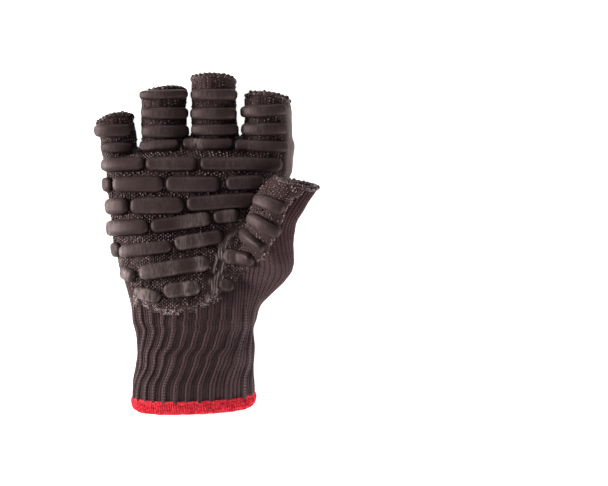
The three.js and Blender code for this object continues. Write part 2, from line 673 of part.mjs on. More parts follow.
// A pad: a bar with rounded ends and a rounded top, following the skin
const PAD_ENDS = [
  { in: 0, width: 0.5, height: 0.45 },
  { in: 0.22, width: 0.84, height: 0.82 },
  { in: 0.55, width: 1, height: 1 },
];
const PAD_SECTION = [[-1, 0], [-1, 0.5], [-0.62, 1], [0.62, 1], [1, 0.5], [1, 0]];
function pad([name, x, y, slope, length, width, lowest, height = 1]) {
  const heading = point(Math.cos(slope * DEGREE), Math.sin(slope * DEGREE), 0);
  const start = topOfSkin(x, y);
  const right = walkSkin(start, heading, length / 2, UPRIGHT);
  const left = walkSkin(start, heading.clone().negate(), lowest ? Infinity : length / 2, lowest ?? UPRIGHT);
  const trail = [...left.slice(1).reverse(), ...right];
  const distances = [0];
  const efforts = [0]; // grows with the way gone and with the bend, and spaces the sections
  for (let i = 1; i < trail.length; i++) {
    const way = trail[i].at.distanceTo(trail[i - 1].at);
    distances.push(distances[i - 1] + way);
    const bend = trail[i].out.angleTo(trail[i - 1].out) / DEGREE;
    efforts.push(efforts[i - 1] + way / SECTION_WAY + bend / SECTION_BEND);
  }
  const total = distances.at(-1);
  const ends = PAD_ENDS.map((e) => ({ ...e, in: Math.min(e.in * width, total * 0.42) }));
  const [from, to] = [ends[2].in, total - ends[2].in].map((s) => valueAt(s, distances, efforts));
  const middle = Math.max(0, Math.ceil(to - from) - 1);
  const stations = [
    ...ends.map((e) => ({ s: e.in, width: e.width, height: e.height })),
    ...Array.from({ length: middle }, (_, i) => ({
      s: valueAt(lerp(from, to, (i + 1) / (middle + 1)), efforts, distances), width: 1, height: 1 })),
    ...ends.slice().reverse().map((e) => ({ s: total - e.in, width: e.width, height: e.height })),
  ];
  const position = [];
  const triangles = [];
  const sides = PAD_SECTION.length;
  stations.forEach(({ s, width: narrow, height: low }, i) => {
    const j = Math.max(1, distances.findIndex((d) => d >= s - 1e-9));
    const t = (s - distances[j - 1]) / (distances[j] - distances[j - 1]);
    const at = trail[j - 1].at.clone().lerp(trail[j].at, t);
    const out = trail[j - 1].out.clone().lerp(trail[j].out, t).normalize();
    const forward = trail[j].at.clone().sub(trail[j - 1].at).normalize();
    const across = out.clone().cross(forward).normalize();
    const half = (narrow * width) / 2;
    const feet = PAD_SECTION.map(([u]) => nearest(at.clone().addScaledVector(across, u * half)));
    const sunk = at.clone().sub(feet[0].at.clone().lerp(feet.at(-1).at, 0.5)).dot(out);
    const base = PAD_BASE + Math.max(0, sunk);
    PAD_SECTION.forEach(([, v], c) => {
      const rise = base + v * low * height * PAD_HEIGHT;
      const p = feet[c].at.addScaledVector(feet[c].out.lerp(out, 0.5).normalize(), rise);
      position.push(p.x, p.y, p.z);
      const d = (c + 1) % sides;
      if (!i) return;
      const [a, b] = [(i - 1) * sides, i * sides];
      triangles.push(a + c, b + c, b + d, a + c, b + d, a + d);
    });
  });
  const far = (stations.length - 1) * sides;
  for (let c = 1; c < sides - 1; c++) {
    triangles.push(0, c, c + 1);
    triangles.push(far, far + c + 1, far + c);
  }
  return geometryOf(position, triangles);
}
for (const row of PADS) addPiece(row[0], pad(row), padFinish);

// The tables' own origin lies in the palm: the glove moves so that it stands over the origin.
for (const mesh of glove.children) mesh.geometry.translate(-MIDDLE.x, -MIDDLE.y, 0);

export default glove;
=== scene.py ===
"""A half-finger impact glove for the right hand, lying on its back with the palm up.

Blender 4.5. The glove is built as it is made: the string knit first, then the yarn at its finger
ends and the red hem, then the rubber coat over the palm side, and last the raised pads on it.
"""

import math

import bpy
import numpy as np
from mathutils import Matrix, Vector, noise
from mathutils.bvhtree import BVHTree


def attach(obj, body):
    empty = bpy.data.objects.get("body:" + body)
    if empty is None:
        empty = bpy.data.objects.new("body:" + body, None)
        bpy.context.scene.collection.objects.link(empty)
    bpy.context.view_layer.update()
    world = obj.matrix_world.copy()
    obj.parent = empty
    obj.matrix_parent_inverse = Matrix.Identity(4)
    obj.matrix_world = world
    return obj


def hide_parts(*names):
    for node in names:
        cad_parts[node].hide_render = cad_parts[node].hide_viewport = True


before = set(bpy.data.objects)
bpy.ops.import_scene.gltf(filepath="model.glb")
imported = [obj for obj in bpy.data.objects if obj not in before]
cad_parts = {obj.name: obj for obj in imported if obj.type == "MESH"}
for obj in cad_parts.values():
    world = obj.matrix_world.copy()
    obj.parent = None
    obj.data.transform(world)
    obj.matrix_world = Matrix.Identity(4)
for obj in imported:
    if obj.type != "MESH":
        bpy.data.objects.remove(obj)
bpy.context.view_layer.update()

# The knitted skin. A seven-gauge glove machine knits four finger tubes, joins them into the hand,
# adds the thumb tube and ends in the wrist, in one piece and with no seam. It is laid out here as
# one cage of four-sided patches, each two wales wide, in millimetres from the palm.
MIDDLE = np.array([6.3, 1.4, 0.0])  # where the origin of the solids lies in these millimetres
KNIT = 1.9  # thickness of the knit
COLLAR = 4.0  # how much of each finger tube belongs to the hand
NECK = 8  # how quickly a finger tube narrows above its web
TUBE_ROW = 9  # about how far apart the rows of a finger tube lie
FINGER_COLUMNS, THUMB_COLUMNS, HAND_COLUMNS, WRIST_COLUMNS = 14, 16, 44, 52
# web and end at the left and the right, crown of the end, middle and width at the web and at the
# end, depth, and how far the end lifts off the table
FINGERS = {
    "index": ((61, 58), (85.1, 81.6), 2.8, (41.1, 42.3), (30.4, 25.4), 20.4, 2.0),
    "middle": ((61, 61), (94.5, 93.8), 2.9, (11.4, 10.9), (29.2, 25.6), 20.4, 1.6),
    "ring": ((53.5, 61), (84.1, 88.2), 3.2, (-18.2, -18.4), (30, 25.6), 20.0, 1.8),
    "little": ((50, 53.5), (67.8, 72.3), 4.0, (-43.2, -46.4), (20, 20.4), 18.0, 2.6),
}
# height along the hand, left, right, top, and how far the thumb draws the palm's columns across
HAND_ROWS = [
    (47, -52.4, 54.8, 25.0, 0),
    (36, -51.3, 53.6, 26.4, 0.5),
    (24.5, -49.7, 51.4, 26.6, 1.6),
    (13, -47.8, 48.4, 26.8, 3.2),
]
WRIST = (-44, -36.8, 36.2, 33.4)  # height along the hand, left, right and top of its section
LOWER_ROWS = 5  # from the thumb's web down to the wrist
# place, width, depth and roll of the thumb's stations
THUMB = [
    ((41.8, -3.0, 25), 40, 25, 40),
    ((43.4, 5.5, 33.0), 35, 26, 48),
    ((45.2, 14.5, 38.2), 31.5, 27, 54),
    ((49.6, 23.2, 40.6), 30, 26, 56),
    ((57.0, 33.3, 42), 27.5, 23.5, 56),
]
THUMB_WEB = [(24.5, 9.4, 27), (33.0, 12.4, 22), (40.8, 13.2, 15.6), (45.6, 12.4, 10), (48.4, 10.4, 4.6)]
# centre, height and half-widths of the palm's rises and hollows
PALM_RELIEF = [(-30, -8, 3.0, 20, 28), (13, -17, -3.6, 9, 22), (26, -12, 2.4, 9, 12), (2, 20, -1.6, 30, 14)]
# share of the cuff's length, left, right, top, and the columns that the ribs have slumped
CUFF_ROWS = [
    (0.11, -35.4, 34.8, 33.0, -0.5),
    (0.23, -34.6, 34.8, 32.4, 0.1),
    (0.36, -34.0, 35.6, 32.8, 0.9),
    (0.49, -34.2, 35.4, 33.6, 0.8),
    (0.61, -35.0, 34.8, 33.0, 0.9),
    (0.73, -36.0, 34.8, 33.6, 1.7),
    (0.86, -36.8, 35.2, 34.0, 1.9),
    (1.0, -36.8, 35.6, 34.0, 2.0),
]
CUFF_END = (-87.2, -84.9, 7.9)  # the edge's height at its two sides, and how far the palm side sags

cage = []  # points
patches = []  # corners, piece, part, column


def lerp(a, b, t):
    return a + (b - a) * t


def eased(t):
    """From 0 to 1 with soft ends."""
    return t * t * (3 - 2 * t)


def ramp(values, start, end):
    """From 0 at start to 1 at end, and level beyond them."""
    return np.clip((values - start) / (end - start), 0, 1)


def unit(v):
    return v / np.linalg.norm(v, axis=-1, keepdims=True)


def lengths(points):
    """How far along a line each of its points lies."""
    return np.concatenate([[0], np.cumsum(np.linalg.norm(np.diff(points, axis=0), axis=1))])


def place_at(distance, along, points):
    """The place, or places, on a line at a distance."""
    return np.array([np.interp(distance, along, points[:, axis]) for axis in range(3)]).T


def superellipse(angle, squareness):
    c, s = np.cos(angle), np.sin(angle)
    return np.sign(c) * np.abs(c) ** (2 / squareness), np.sign(s) * np.abs(s) ** (2 / squareness)


def section(y, left, right, top, columns):
    """A section of the hand, walked from its right side over the palm and back underneath."""
    c, s = superellipse(np.linspace(0, 2 * np.pi, 721), 2.5)
    middle = top * 0.46
    height = np.where(s > 0, top - middle, middle + 1.4)
    x = (left + right) / 2 + (right - left) / 2 * c
    walk = np.stack([x, np.full_like(c, y), np.maximum(0, middle + height * s)], 1)
    length = lengths(walk)
    side, half = length[360], columns / 2

    def at(column):
        k = column % columns
        return place_at(k / half * side if k <= half else lerp(side, length[-1], k / half - 1), length, walk)

    return at


def finger_ring(name, share):
    """A ring of a finger tube, at a share of the way from its web to its end."""
    webs, ends, crown, middles, widths, depth, lift = FINGERS[name]
    ring = []
    for k in range(FINGER_COLUMNS):
        angle = k / FINGER_COLUMNS * 2 * math.pi
        c, s = superellipse(angle, 2.2)
        across = (math.cos(angle) + 1) / 2
        end = lerp(*ends, across) + crown * (s if s > 0 else -0.4 * s)
        x = lerp(*middles, share) + c / 2 * lerp(*widths, 1 - (1 - share) ** NECK)
        z = max(0.0, depth / 2 * (1 + s) - 0.7) + lift * share**2
        ring.append(np.array([x, lerp(lerp(*webs, across), end, share), z]))
    return ring


def thumb_frame(i):
    """A station of the thumb: its place, the way along it, its palm side's way and its outer side's."""
    at = [np.array(station[0], float) for station in THUMB]
    along = unit(at[min(i + 1, len(THUMB) - 1)] - at[max(i - 1, 0)])
    up = unit(np.array([0, 0, 1.0]) - along * along[2])
    inward = np.cross(up, along)
    roll = math.radians(THUMB[i][3])
    palm = up * math.cos(roll) + inward * math.sin(roll)
    return at[i], along, palm, -inward * math.cos(roll) + up * math.sin(roll)


def thumb_ring(i):
    centre, along, palm, outward = thumb_frame(i)
    _, width, depth, _ = THUMB[i]
    ring = []
    for k in range(THUMB_COLUMNS):
        angle = k / THUMB_COLUMNS * 2 * math.pi
        c, s = math.cos(angle), math.sin(angle)
        reach = 1.6 * abs(s) + 3.2 * c - 4.0 * s if i == len(THUMB) - 1 else 0
        ring.append(centre + outward * width / 2 * c + palm * depth / 2 * s + along * reach)
    return ring


def add_points(ring):
    cage.extend(ring)
    return list(range(len(cage) - len(ring), len(cage)))


def join_rings(low, high, piece, part):
    for k in range(len(low)):
        after = (k + 1) % len(low)
        patches.append(((low[k], high[k], high[after], low[after]), piece, part, k))


# Neighbouring finger tubes share a point on the palm, one at the web and one on the back.
half = FINGER_COLUMNS // 2
hand_top = [None] * HAND_COLUMNS
starts, tube_ends, before = {}, {}, None
for f, name in enumerate(FINGERS):
    shared = {1: before[half - 1], 0: before[half], FINGER_COLUMNS - 1: before[half + 1]} if f else {}
    numbers = []
    for k, p in enumerate(finger_ring(name, 0)):
        if k in shared:
            lifted = np.array([0, 0, 3.0]) if k == 1 else 0
            cage[shared[k]] = (cage[shared[k]] + p) / 2 + lifted
            numbers.append(shared[k])
        else:
            numbers += add_points([p])
    starts[name] = before = numbers
    for k in range(1, half):
        hand_top[f * (half - 2) + k] = numbers[k]
    for k in range(half + 1, FINGER_COLUMNS):
        hand_top[HAND_COLUMNS - FINGER_COLUMNS - f * (half - 2) + k] = numbers[k]
hand_top[0] = starts["index"][0]
hand_top[HAND_COLUMNS // 2] = starts["little"][half]
for name, (webs, ends, *_) in FINGERS.items():
    length = (sum(ends) - sum(webs)) / 2
    rows = max(2, round((length - COLLAR) / TUBE_ROW))
    low = starts[name]
    for r in range(rows + 1):
        high = add_points(finger_ring(name, lerp(COLLAR / length, 1, r / rows)))
        join_rings(low, high, name + "_stall" if r else "knit_hand", name)
        tube_ends[name] = (high, low)
        low = high

web_numbers = add_points([np.array(p, float) for p in THUMB_WEB])
web_columns = [2, 1, 0, HAND_COLUMNS - 1, HAND_COLUMNS - 2]
upper = hand_top
for y, left, right, top, draw in HAND_ROWS:
    at = section(y, left, right, top, HAND_COLUMNS)
    ring = []
    for k in range(HAND_COLUMNS):
        drawn = k / 2 if k < 2 else max(0, (HAND_COLUMNS / 2 - k) / (HAND_COLUMNS / 2 - 2))
        if y == HAND_ROWS[-1][0] and k in web_columns:
            ring.append(web_numbers[web_columns.index(k)])
        else:
            ring += add_points([at(k + draw * drawn)])
    join_rings(ring, upper, "knit_hand", "palm")
    upper = ring

thumb_start = []
for k, p in enumerate(thumb_ring(0)):
    web = k - (THUMB_COLUMNS // 2 - 2)
    thumb_start += [web_numbers[web]] if 0 <= web < len(web_numbers) else add_points([p])
low = thumb_start
for i in range(1, len(THUMB)):
    high = add_points(thumb_ring(i))
    join_rings(low, high, "knit_hand" if i == 1 else "thumb_stall", "thumb")
    tube_ends["thumb"] = (high, low)
    low = high

# Below the web, the columns of the thumb's base and of the hand sweep together down to the wrist.
joined = thumb_start[:7] + upper[3 : HAND_COLUMNS - 2] + thumb_start[10:]
wrist_at = section(*WRIST, WRIST_COLUMNS)
down = -thumb_frame(0)[1]
leaving = np.array([down if n in set(thumb_start) else (0, -1, 0) for n in joined], float)
for _ in range(4):
    leaving = unit(np.roll(leaving, 1, 0) + np.roll(leaving, -1, 0))
lower = joined
for r in range(1, LOWER_ROWS + 1):
    t = r / LOWER_ROWS
    ring = []
    for k, n in enumerate(joined):
        start, to = cage[n], wrist_at(k)
        reach = np.linalg.norm(to - start)
        bend = leaving[k] * (t**3 - 2 * t**2 + t) + np.array([0, -1, 0]) * (t**3 - t**2)
        ring.append(lerp(start, to, eased(t)) + bend * reach)
    ring = add_points(ring)
    join_rings(ring, lower, "knit_hand", "heel")
    lower = ring
heel_end = lower


def hem_height(x, z, left, right, top):
    """How far down the wrist its edge lies, at a place of its last section."""
    sag = CUFF_END[2] * max(0, z / top - 0.4)
    return lerp(CUFF_END[0], CUFF_END[1], (x - left) / (right - left)) - sag


for share, left, right, top, slump in CUFF_ROWS:
    at = section(0, left, right, top, WRIST_COLUMNS)
    ring = []
    for k in range(WRIST_COLUMNS):
        x, _, z = at(k + slump)
        y = lerp(WRIST[0], hem_height(x, z, left, right, top), share)
        ring.append(np.array([x, y, z]))
    ring = add_points(ring)
    join_rings(ring, lower, "rib_cuff", "cuff")
    lower = ring

cage = np.array(cage)
rise = eased(ramp(cage[:, 2], 12, 22))
for x, y, height, across, along in PALM_RELIEF:
    bump = np.exp(-(((cage[:, 0] - x) / across) ** 2) - ((cage[:, 1] - y) / along) ** 2)
    cage[:, 2] += rise * height * bump

# The knit is eased round the webs: centre and reach of each place.
webs = [(cage[starts[name][0]].copy(), 6) for name in list(FINGERS)[1:]]
webs += [((38, 8, 18), 30), ((27, -10, 26), 26), ((50, -4, 16), 15)]
neighbours = [set() for _ in cage]
for corners, *_ in patches:
    for i, n in enumerate(corners):
        neighbours[n] |= {corners[i - 1], corners[(i + 1) % 4]}
fixed = {n for high, _ in tube_ends.values() for n in high} | set(heel_end)
for _ in range(5):
    near = [1 - np.linalg.norm(cage - np.array(at), axis=1) / reach for at, reach in webs]
    mean = np.array([cage[list(numbers)].mean(0) for numbers in neighbours])
    pull = 0.5 * np.clip(2 * np.max(near, axis=0), 0, 1)
    pull[[n in fixed for n in range(len(cage))]] = 0
    cage = cage + (mean - cage) * pull[:, None]
    cage[:, 2] = np.maximum(0, cage[:, 2])

# Each point's way up from the wrist counts the courses, and each patch counts two wales.
way = np.full(len(cage), np.nan)
way[heel_end] = 0
for part in ("heel", "cuff", "palm", "thumb", *FINGERS):
    upwards = -1 if part == "cuff" else 1
    rows = [p for p in patches if p[2] == part]
    columns = max(p[3] for p in rows) + 1
    # rows of a part come in building order: from the wrist up for tubes, downwards elsewhere
    order = range(0, len(rows), columns)
    if part in ("heel", "palm"):
        order = reversed(order)
    if part == "palm":
        way[web_numbers] = np.linspace(way[web_numbers[0]], way[web_numbers[4]], 5)
    for ring in starts.values() if part == "index" else ():
        for k in (0, half):
            if np.isnan(way[ring[k]]):
                way[ring[k]] = (way[ring[k - 1]] + way[ring[k + 1]]) / 2
    for first in order:
        for corners, *_ in rows[first : first + columns]:
            for a, b in ((corners[0], corners[1]), (corners[3], corners[2])):
                if upwards < 0:
                    a, b = b, a
                if np.isnan(way[b]) and not np.isnan(way[a]):
                    way[b] = way[a] + upwards * np.linalg.norm(cage[b] - cage[a])

# How far inside the coated side each point lies: the wales between which each part is coated.
COATED = {"palm": (-2, 44), "heel": (0, 52), "thumb": (0, 16), "index": (-2, 14)}
COLUMNS = {"palm": HAND_COLUMNS, "heel": WRIST_COLUMNS, "thumb": THUMB_COLUMNS}
WALE = 1.3  # from one wale to the next, in millimetres
side = np.full(len(cage), -9.0)
for corners, _, part, column in patches:
    if part == "cuff":
        continue
    low_u, high_u = COATED.get(part, (0, 14))
    columns = COLUMNS.get(part, FINGER_COLUMNS)
    for i, n in enumerate(corners):
        u = 2 * ((column + (i > 1)) % columns)
        if u > high_u + (2 * columns - high_u + low_u) / 2:
            u -= 2 * columns
        side[n] = max(side[n], WALE * min(u - low_u, high_u - u))


def mesh_of(name, points, faces, uv=None):
    """A mesh in metres from points in the cage's millimetres, with its map of wales and courses."""
    mesh = bpy.data.meshes.new(name)
    faces = [list(map(int, f)) for f in faces]
    mesh.from_pydata(((np.asarray(points) - MIDDLE) / 1000).tolist(), [], faces)
    if uv is not None:
        layer = mesh.uv_layers.new(name="knit")
        layer.data.foreach_set("uv", np.asarray(uv, np.float32).ravel())
    mesh.polygons.foreach_set("use_smooth", np.ones(len(mesh.polygons), bool))
    mesh.update()
    return mesh


def mark(mesh, name, values):
    """A value or a vector at each point of a mesh."""
    values = np.asarray(values, np.float32)
    kind, field = ("FLOAT", "value") if values.ndim == 1 else ("FLOAT_VECTOR", "vector")
    mesh.attributes.new(name, kind, "POINT").data.foreach_set(field, values.ravel())


def read(data, field, width):
    values = np.empty(len(data) * width)
    data.foreach_get(field, values)
    return values


def stand(name, data):
    """A new object in the scene, at the origin."""
    thing = bpy.data.objects.new(name, data)
    bpy.context.scene.collection.objects.link(thing)
    return thing


def settled(thing):
    """The plain mesh that an object's modifiers make of it. The object itself goes."""
    depsgraph = bpy.context.evaluated_depsgraph_get()
    mesh = bpy.data.meshes.new_from_object(thing.evaluated_get(depsgraph))
    bpy.data.objects.remove(thing)
    return mesh


# The cage is smoothed until it passes through its own points.
LEVEL = 3
faces = [corners for corners, *_ in patches]
uv = []
for corners, _, _, column in patches:
    uv += [(2 * column + 2 * (i > 1), way[n]) for i, n in enumerate(corners)]


def smoothed(points):
    mesh = mesh_of("skin", points, faces, uv)
    mark(mesh, "side", side)
    skin = stand("skin", mesh)
    finer = skin.modifiers.new("finer", "SUBSURF")
    finer.levels = finer.render_levels = LEVEL
    finer.uv_smooth, finer.boundary_smooth = "NONE", "ALL"
    mesh = settled(skin)
    return mesh, read(mesh.vertices, "co", 3).reshape(-1, 3) * 1000 + MIDDLE


cage_now = cage.copy()
for _ in range(2):
    cage_now = cage_now + (cage - smoothed(cage_now)[1][: len(cage)])
fine, skin_points = smoothed(cage_now)
skin_points[:, 2] = np.maximum(0, skin_points[:, 2])
skin_x, skin_y, skin_z = skin_points.T
skin_faces = np.array([p.vertices for p in fine.polygons])
skin_uv = read(fine.uv_layers["knit"].data, "uv", 2).reshape(-1, 4, 2)
skin_side = read(fine.attributes["side"].data, "value", 1)
per_patch = 4**LEVEL
face_piece = np.repeat([p[1] for p in patches], per_patch)
face_part = np.repeat([p[2] for p in patches], per_patch)


def outward_of(points, faces):
    """The smooth way outwards at each point."""
    a, b, c, d = (points[faces[:, i]] for i in range(4))
    face = np.cross(c - a, d - b)
    out = np.zeros_like(points)
    for i in range(4):
        np.add.at(out, faces[:, i], face)
    return out / np.maximum(np.linalg.norm(out, axis=1), 1e-12)[:, None]


skin_out = outward_of(skin_points, skin_faces)
# Each point's own wale and course, from any face that has it
own = np.zeros((len(skin_points), 2))
own[skin_faces.ravel()] = skin_uv.reshape(-1, 2)
skin_u, skin_v = own.T
low_hand = np.zeros(len(skin_points), bool)
low_hand[skin_faces[(face_part == "cuff") | (face_part == "heel")].ravel()] = True
# Over the middle of the palm side the cuff's ribs have slumped further than at its two edges.
drift = np.interp(-skin_v, (-3, 7.5, 15.5, 21, 28.5, 35, 43), (0, 1.8, 1.3, 3.2, 4.2, 3.6, 3.6))
drift = drift * np.interp(skin_u, (4, 15, 34, 47), (0, 1, 1, 0))
drift = np.where(low_hand, drift, 0) * ramp(skin_v, 3, 0)
skin_u = skin_u - drift
skin_uv[:, :, 0] -= drift[skin_faces]


def lump(points, size, seed):
    """Smooth noise at points, about -1 to 1, for hand-made unevenness."""
    shift = Vector((seed, 7.1 * seed, 0))
    return np.array([noise.noise(Vector(p) / size + shift) for p in points]) * 1.6


def wall(name, chosen, outer, inner, **marks):
    """A closed wall over some faces of the skin, between two distances from it, with its marks."""
    picked = skin_faces[chosen]
    used, flat = np.unique(picked, return_inverse=True)
    flat = flat.reshape(picked.shape)
    count = len(used)
    above = skin_points[used] + skin_out[used] * outer[used][:, None]
    below = skin_points[used] + skin_out[used] * inner[used][:, None]
    above[:, 2], below[:, 2] = np.maximum(0, above[:, 2]), np.maximum(0.3, below[:, 2])
    edges = {}  # those of one face only, with their two places on the map
    for f, coords in zip(flat, skin_uv[chosen]):
        for i, after in enumerate((1, 2, 3, 0)):
            a, b = int(f[i]), int(f[after])
            if edges.pop((b, a), None) is None:
                edges[a, b] = (coords[after], coords[i], coords[i], coords[after])
    a, b = np.array(list(edges)).T
    rims, rim_uv = np.stack([b, a, a + count, b + count], 1), np.array(list(edges.values()))
    mesh = mesh_of(
        name,
        np.concatenate([above, below]),
        np.concatenate([flat, flat[:, ::-1] + count, rims]),
        np.concatenate([skin_uv[chosen], skin_uv[chosen][:, ::-1], rim_uv]),
    )
    # shaded as one skin, so that no line shows where two pieces meet
    upper, lower = (
        outward_of(skin_points + skin_out * level[:, None], skin_faces)[used] for level in (outer, inner)
    )
    mesh.normals_split_custom_set_from_vertices(np.concatenate([upper, -lower]).tolist())
    for label, values in marks.items():
        mark(mesh, label, np.tile(values[used], 2))
    return mesh


def add_piece(name, mesh, material, slot, *nodes):
    """Stands a finished mesh in the scene for its solid, riding on the glove's one body."""
    mesh.materials.clear()
    mesh.materials.append(material)
    piece = stand(name, mesh)
    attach(piece, "root")
    if nodes:
        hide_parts(*nodes)
    return piece


class Strand:
    """A value in a tree of nodes. Arithmetic on it adds the nodes that do the sum."""

    def __init__(self, tree, socket):
        self.tree, self.socket = tree, socket

    def add(self, kind, settings=None, values=None, out=0):
        node = self.tree.nodes.new(kind if kind.startswith("Geometry") else "ShaderNode" + kind)
        for key, value in (settings or {}).items():
            setattr(node, key, value)
        for key, value in (values or {}).items():
            if isinstance(value, Strand):
                self.tree.links.new(value.socket, node.inputs[key])
            else:
                node.inputs[key].default_value = value
        return Strand(self.tree, node.outputs[out])

    def math(self, operation, *values, clamp=False):
        return self.add("Math", {"operation": operation, "use_clamp": clamp}, dict(enumerate(values)))

    def of(self, operation):
        """A function of this value alone."""
        return self.math(operation, self)

    def operator(operation, swapped=False):
        def apply(self, other):
            return self.math(operation, *((other, self) if swapped else (self, other)))

        return apply

    __add__ = __radd__ = operator("ADD")
    __mul__ = __rmul__ = operator("MULTIPLY")
    __sub__, __rsub__ = operator("SUBTRACT"), operator("SUBTRACT", swapped=True)
    __truediv__, __pow__ = operator("DIVIDE"), operator("POWER")

    def clamp(self):
        return self.math("MULTIPLY", self, 1.0, clamp=True)

    def step(self, low, high):
        limits = {"Value": self, "From Min": low, "From Max": high}
        return self.add("MapRange", {"interpolation_type": "SMOOTHSTEP"}, limits)

    def mix(self, first, second):
        """Colours from first to second as this value goes from 0 to 1."""
        values = {0: self}
        for key, colour in ((6, first), (7, second)):
            values[key] = colour if isinstance(colour, Strand) else (*colour, 1)
        return self.add("Mix", {"data_type": "RGBA"}, values, out=2)

    def noise(self, scale, detail=2.0, rough=0.5):
        values = {"Vector": self, "Scale": scale, "Detail": detail, "Roughness": rough}
        return self.add("TexNoise", None, values)

    def bump(self, strength, distance):
        """The normal of a surface on which this value is the height."""
        return self.add("Bump", None, {"Strength": strength, "Distance": distance, "Height": self})

    def marked(self, name):
        """A mark that the points of the piece carry."""
        return self.add("Attribute", {"attribute_name": name}, out="Fac")


def new_finish(name, **constants):
    """A material with its shader's plain settings: itself, its shader and its Object coordinates."""
    material = bpy.data.materials.new(name)
    material.use_nodes = True
    tree = material.node_tree
    shader = tree.nodes["Principled BSDF"]
    for key, value in constants.items():
        shader.inputs[key.replace("_", " ")].default_value = value
    return material, shader, Strand(tree, tree.nodes.new("ShaderNodeTexCoord").outputs["Object"])


def feed(shader, **strands):
    for key, value in strands.items():
        value.tree.links.new(value.socket, shader.inputs[key.replace("_", " ")])


COURSE = 1.75  # from one course to the next, in millimetres


def stitches(place, depth):
    """The wale of each point, and the height of a plain knit: two leaning legs to each stitch."""
    pattern = place.add("UVMap", {"uv_map": "knit"})
    wale, course = (place.add("SeparateXYZ", None, {0: pattern}, out=axis) for axis in (0, 1))
    across = (wale.of("FRACT") * 2 - 1).of("ABSOLUTE")
    leg = across * 2 - 1
    turn = (course / COURSE + across * 0.55) * (2 * math.pi)
    return wale, (1 - leg * leg).clamp().of("SQRT") * (1 - depth + turn.of("COSINE") * depth)


WARM = (1.0, 0.72, 0.72, 1.0)  # the tint of every gloss and bloom on the dark yarn and rubber
knit, shader, place = new_finish(
    "string_knit", Roughness=0.85, Specular_IOR_Level=0.12, Specular_Tint=WARM,
    Sheen_Weight=0.1, Sheen_Roughness=0.5, Sheen_Tint=WARM,
)
wale, loop = stitches(place, 0.26)
fibres, patchy = place.noise(2600, 2), place.noise(55, 3)
# painted shade: the colour is darker in the grooves between the wales and lighter on the stitch tops
groove = (wale.of("FRACT") * 2 - 1).of("ABSOLUTE")
ridge = (1 - groove**1.6) * (loop * 0.45 + 0.55)
# the marked painted light and shade is added in here
shade = (ridge * 0.65 + fibres * 0.3 + patchy * 0.35 + place.marked("faded") * 0.45 - 0.25).clamp()
plain = shade.mix((0.0235, 0.0100, 0.0105), (0.067, 0.042, 0.044))
# painted highlights: pale dots on the stitch tops along the rib crests
crest_highlights = (place.marked("pale").step(0.42, 0.8) * loop.step(0.4, 0.95) * 0.9).clamp()
feed(
    shader,
    Base_Color=crest_highlights.mix(plain, (0.135, 0.103, 0.106)),
    Normal=(loop * 0.8 + fibres * 0.25).bump(0.9, 0.0006),
)

# Wales stand up as fine ridges, and the skin is a little uneven all over.
wales = -0.32 * np.cos(2 * np.pi * skin_u) - 0.32
uneven = 0.35 * lump(skin_points, 9.0, 3.0) * ramp(skin_z, 1, 5)
# The cuff's ribs: two wales stand up and two lie behind them, all round, fading into the hand.
ribs = eased(ramp(skin_v, 20, 2) * low_hand)
crest = (0.5 + 0.5 * np.cos(2 * np.pi * skin_u / 4)) ** 3.4
outer = wales + uneven - ribs * 1.35 * (1 - crest)
inner = uneven - KNIT - ribs * 1.2 * (1 - crest)
# painted highlights on the rib crests: pale at the two sides of the cuff and hardly at all in its middle
ACROSS_CUFF = (-30, -16, 2, 20, 32)
pale = ribs * crest * np.interp(skin_x, ACROSS_CUFF, (1.0, 0.75, 0.35, 0.4, 0.9))
# and painted light along the outer side of the cuff, less towards the thumb, with painted shade on the
# thumb's back
faded = np.interp(skin_y, (-95, -45, -20, -5, 20), (1.2, 0.9, 0.5, -0.7, -0.9)) * ramp(skin_x, 14, 30)
# the rib valleys are painted lighter and their crests darker, against the ribs' own shading, most in the
# middle of the cuff
faded += ribs * (0.55 - crest) * np.interp(skin_x, ACROSS_CUFF, (0.4, 0.7, 1.1, 1.0, 0.5))


def knit_piece(name):
    mesh = wall(name, face_piece == name, outer, inner, pale=pale, faded=faded)
    add_piece("glove_" + name, mesh, knit, "knit", name)


for name in ("knit_hand", "index_stall", "middle_stall", "ring_stall", "little_stall", "thumb_stall"):
    knit_piece(name)

# The rib wrist. Two-by-two rib on the same machine and the same yarn, pushed down by use so that
# its ribs lie in slumped waves.
knit_piece("rib_cuff")


# The yarn at the finger ends. Each cut end is overcast with the same dark yarn, whose turns stand
# side by side round the rim, thick and uneven, with a little rubber caught in them.
def new_tree(name, **inputs):
    """A Geometry Nodes tree and its inputs as strands, each given by its kind or a number."""
    tree = bpy.data.node_groups.new(name, "GeometryNodeTree")
    for label, value in inputs.items():
        kind = value if isinstance(value, str) else type(value).__name__.title()
        socket = tree.interface.new_socket(label, in_out="INPUT", socket_type="NodeSocket" + kind)
        if kind != value:
            socket.default_value = value
    tree.interface.new_socket("Result", in_out="OUTPUT", socket_type="NodeSocketGeometry")
    given = tree.nodes.new("NodeGroupInput").outputs
    return tree, [Strand(tree, given[label]) for label in inputs]


def end_tree(shape, finish):
    """Ends a tree in real geometry with its material."""
    plain = shape.add("GeometryNodeRealizeInstances", None, {"Geometry": shape})
    done = plain.add("GeometryNodeSetMaterial", None, {"Geometry": plain, "Material": finish})
    done.tree.links.new(done.socket, done.tree.nodes.new("NodeGroupOutput").inputs[0])


def grown(name, mesh, tree, **values):
    """The plain mesh that a tree makes from another mesh."""
    holder = stand(name, mesh)
    modifier = holder.modifiers.new(name, "NODES")
    modifier.node_group = tree
    for socket in tree.interface.items_tree:
        if socket.name in values:
            modifier[socket.identifier] = values[socket.name]
    result = settled(holder)
    result.polygons.foreach_set("use_smooth", np.ones(len(result.polygons), bool))
    return result


